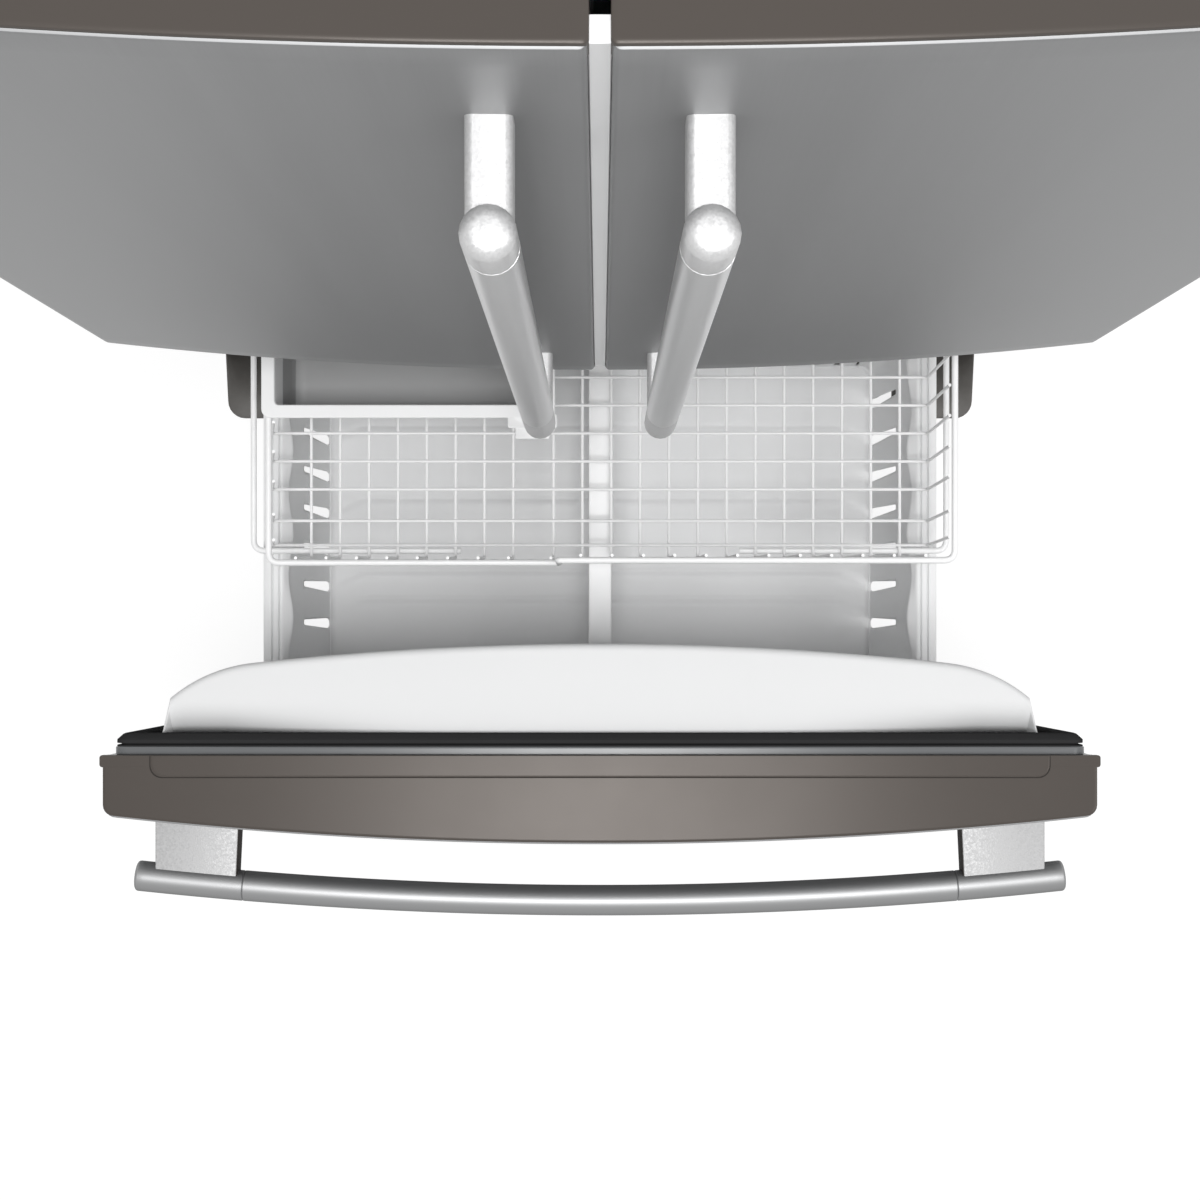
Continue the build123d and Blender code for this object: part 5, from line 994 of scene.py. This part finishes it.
# The bin's floor: a plate with the wall's plan that has four cross grooves with a low ridge beside each.
# At both ends they bend towards the foot of a slot.
GROOVES = ((-159.2, 17.3), (-245.0, 17.3), (-330.3, 17.8), (-362.6, 28.4))
GROOVE_DEPTH, GROOVE_WIDTH = 1.3, 2.4
RIDGE_HEIGHT, RIDGE_AWAY, RIDGE_WIDTH = 0.8, 7.0, 5.0
PLATE_OVER = 0.6
u, v = np.meshgrid(np.linspace(-1, 1, 90), np.linspace(-1, 1, 170), indexing="ij")
plate_y = v * (FLOOR_HALF_Y + FOOT_OUT + PLATE_OVER)
over = np.clip(np.abs(plate_y) - (FLOOR_HALF_Y + FOOT_OUT - FLOOR_CORNER), 0, FLOOR_CORNER)
plate_x = u * (FLOOR_HALF_X + FOOT_OUT + PLATE_OVER - FLOOR_CORNER + np.sqrt(FLOOR_CORNER**2 - over**2))
plate_y = plate_y + BIN_MIDDLE
near_end = np.clip((np.abs(plate_x) - 280.0) / 35.0, 0, 1)
relief = np.zeros_like(plate_x)
for place, drop in GROOVES:
    beside = plate_y - (place - drop * near_end)
    relief -= GROOVE_DEPTH * np.exp(-((beside / GROOVE_WIDTH) ** 2)) * (1 - 0.5 * near_end)
    relief += RIDGE_HEIGHT * np.exp(-(((beside + RIDGE_AWAY) / RIDGE_WIDTH) ** 2))
fade = np.clip((318.0 - np.abs(plate_x)) / 10.0, 0, 1)
floor_plate = grid(at(plate_x, plate_y, FLOOR_LEVEL + relief * fade))
bin_white = plastic("bin_plastic", (0.88, 0.883, 0.886), 0.45, grain=500.0, mottle=0.05, shine=0.25)
build("slotted_bin", [walls, floor_plate], bin_white, "freezer_drawer", ["lower_bin"],
      wall=BIN_WALL, crease=50)

# Divider: a hollow white wall that hangs across the bin from its front and back edges and slides sideways.
# Its blade narrows downward, and its head is a flat bar with rounded edges that reaches over both edges.
low, high = span("bin_divider")
half_x, half_y, middle_y = (high[0] - low[0]) / 2, (high[1] - low[1]) / 2, (low[1] + high[1]) / 2
rows = [(0.8, 27.0, low[2]), (0.8, 25.5, low[2] + 2), (0.4, 18.5, high[2] - 46), (0.0, 16.0, high[2] - 4)]
head_profile = ((0.0, 3.4), (0.0, 1.2), (0.4, 0.3), (1.3, 0.0), (3.0, 0.0))
rows += [(inset, inset, high[2] - drop) for inset, drop in head_profile]
divider = solid([lay(rounded(half_x - dx, half_y - dy, 2.5) + (0, middle_y), z) for dx, dy, z in rows])
# The divider's white is a lighter copy of the white plastic: painted light that makes up for the shade
# falling on it.
divider_painted_light_white = plastic("divider_painted_light_plastic", (0.95, 0.952, 0.955), 0.4, grain=700.0, depth=0.03, mottle=0.03)
build("divider_wall", [divider], divider_painted_light_white, "divider", ["bin_divider"])

# Upper basket: welded white-coated wire on two bent runner rods, with a low left rim and a high right rim.
# Each wire is a run along the floor that bends up both walls; every bend is a quarter of a small circle.
wire_white = plastic("white_wire", (0.97, 0.971, 0.973), 0.35, grain=1500.0, depth=0.02, mottle=0.03)
WIRE, ROD = 1.6, 3.2
WIRE_BEND, RIM_CORNER, RUNNER_BEND, STEP_BEND = 6.0, 11.0, 12.0, 3.0
NET_X, NET_Z = 346.0, 379.3
NET_FRONT, RIM_FRONT, BACK_Y = -324.5, -333.7, 73.9
LOW_RIM, HIGH_RIM = 497.0, 560.0
LOW_RIM_X, HIGH_RIM_X = -332.0, 345.0
STEP_X = -39.2
RUNNER_X, RUNNER_Z, RUNNER_FRONT, RUNNER_INNER = 367.0, 374.5, -316.5, 147.5
TIP = ROD + WIRE


def bent(points, radius, steps=5):
    """A line through the points with rounded corners: each becomes a curve that touches both its runs."""
    points = np.asarray(points, float)
    line = [points[:1]]
    t = np.linspace(0, 1, steps + 1)[:, None]
    for before, corner, after in zip(points[:-2], points[1:-1], points[2:]):
        a = corner + (before - corner) / np.linalg.norm(before - corner) * radius
        b = corner + (after - corner) / np.linalg.norm(after - corner) * radius
        line.append((1 - t) ** 2 * a + 2 * t * (1 - t) * corner + t**2 * b)
    return np.concatenate(line + [points[-1:]])


def wire(corners, across):
    """One thin wire of the net, bent up at both ends."""
    return bar(bent(corners, WIRE_BEND), WIRE, across, 8)


def flat_rod(corners, radius):
    """A thick rod that is bent only to the sides."""
    return bar(bent(corners, radius, 8), ROD, (0.0, 0.0, 1.0), 14)


wires = []
for x in [-305.2 + 30.5 * i for i in range(8)] + [-49.2 + 30.5 * i for i in range(13)]:
    top = (LOW_RIM if x < STEP_X - 6 else HIGH_RIM) - 1
    profile = ((RIM_FRONT + TIP, top), (NET_FRONT, NET_Z), (BACK_Y - 3, NET_Z), (BACK_Y - TIP, top))
    wires.append(wire([(x, y, z) for y, z in profile], (1.0, 0.0, 0.0)))
for y in [-310.9, -285.2] + [-252.0 + 29.6 * i for i in range(11)]:
    z = NET_Z + 2 * WIRE
    profile = ((LOW_RIM_X + TIP, LOW_RIM - 1), (-NET_X, z), (NET_X, z), (HIGH_RIM_X - TIP, HIGH_RIM - 1))
    wires.append(wire([(x, y, z) for x, z in profile], (0.0, 1.0, 0.0)))
build("basket_wires", wires, wire_white, "upper_basket", ["upper_basket"])
rods = []
for start_x, far_x, z in ((STEP_X, HIGH_RIM_X, HIGH_RIM), (STEP_X - 2, LOW_RIM_X, LOW_RIM)):
    half_rim = [(start_x, RIM_FRONT, z), (far_x, RIM_FRONT, z), (far_x, BACK_Y, z), (start_x, BACK_Y, z)]
    rods.append(flat_rod(half_rim, RIM_CORNER))
for y in (RIM_FRONT, BACK_Y):
    step = ((4, HIGH_RIM), (-1.5, HIGH_RIM), (-1.5, LOW_RIM), (-8, LOW_RIM))
    line = bent([(STEP_X + off, y, z) for off, z in step], STEP_BEND)
    rods.append(bar(line, ROD, (0.0, 1.0, 0.0), 14))
runner_back = span("upper_basket")[1][1] - 1.0
for side in (-1, 1):
    plan = ((RUNNER_X, runner_back), (RUNNER_X, RUNNER_FRONT), (RUNNER_INNER, RUNNER_FRONT))
    rods.append(flat_rod([(side * x, y, RUNNER_Z) for x, y in plan], RUNNER_BEND))
build("basket_rods", rods, wire_white, "upper_basket", ["upper_basket"])

# Ice bin: a tub of grey plastic with a broad flat white rim that hooks over the low side of the basket.
# A stepped pull tab stands out at its front.
low, high = span("ice_bin")
ICE_EDGE, ICE_WALL = 11.0, 2.2
ICE_INNER = ICE_EDGE + ICE_WALL
ICE_CORNER = {"corner": 9.0, "sharpen": 0.35, "least": 2.5}
TAB_REACH, TAB_MIDDLE, TAB_UNDER, TAB_CORNER = 32.0, -67.5, 4.0, 2.0
ice_top = high[2]
ice_low = np.array([low[0], low[1] + TAB_REACH - ICE_EDGE])
ice_high = np.array([-45.0, high[1]])
ice_half, ice_middle = (ice_high - ice_low) / 2, (ice_high + ice_low) / 2
# The rim itself is white plastic. Its white also runs 42 mm down the tub's inner wall, and that part is
# painted light, making the upper inner wall lighter where more light falls.
rim_and_painted_light_profile = (
    (ICE_INNER + 2.1, 42.0), (ICE_INNER + 1.0, 42.0), (ICE_INNER + 0.3, 5.0), (ICE_EDGE - 0.6, 5.0),
    (ICE_EDGE - 1, 3.3), (0.5, 3.3), (0.0, 2.7), (0.0, 0.7), (0.6, 0.0), (ICE_EDGE + 1.4, 0.0),
    (ICE_INNER, 0.9),
)
rim_rows = [(inset, ice_top - drop) for inset, drop in rim_and_painted_light_profile]
ice_rim_and_painted_light = [grid(rings(ice_half, ice_middle, rim_rows, **ICE_CORNER), wrap_u=True, wrap_v=True)]
for half_x, front, drop in ((24.5, low[1] + 11.0, 0.0), (17.0, low[1] + 0.2, 1.0)):
    back = ice_low[1] + TAB_UNDER
    tab_rows = edged(ice_top - 3.3 - drop, ice_top - 0.1 - drop, ((0.6, 0.0), (0.0, 0.6)))
    tab_half, tab_middle = (half_x, (back - front) / 2), (TAB_MIDDLE, (back + front) / 2)
    ice_rim_and_painted_light.append(solid(rings(tab_half, tab_middle, tab_rows, TAB_CORNER)))
build("ice_rim_and_painted_light", ice_rim_and_painted_light, white_plastic, "ice_bin", ["ice_bin"])
tub_rows = [(ICE_EDGE + 7, low[2]), (ICE_EDGE + 4, low[2] + 1), (ICE_EDGE + 2.5, low[2] + 4)]
tub_rows += [(ICE_EDGE + 0.4, ice_top - 4.0), (ICE_INNER + 0.2, ice_top - 4.0)]
tub_rows += [(ICE_INNER + 1.4, low[2] + 20), (ICE_INNER + 2.2, low[2] + 10), (ICE_INNER + 4.5, low[2] + 4.5)]
tub_rows += [(ICE_INNER + 9, low[2] + ICE_WALL), (ICE_INNER + 16, low[2] + ICE_WALL)]
ice_grey = plastic("ice_tub_plastic", (0.38, 0.382, 0.384), 0.4, grain=700.0, depth=0.03, mottle=0.06)
ice_tub = solid(rings(ice_half, ice_middle, tub_rows, **ICE_CORNER))
build("ice_tub", [ice_tub], ice_grey, "ice_bin", ["ice_bin"])
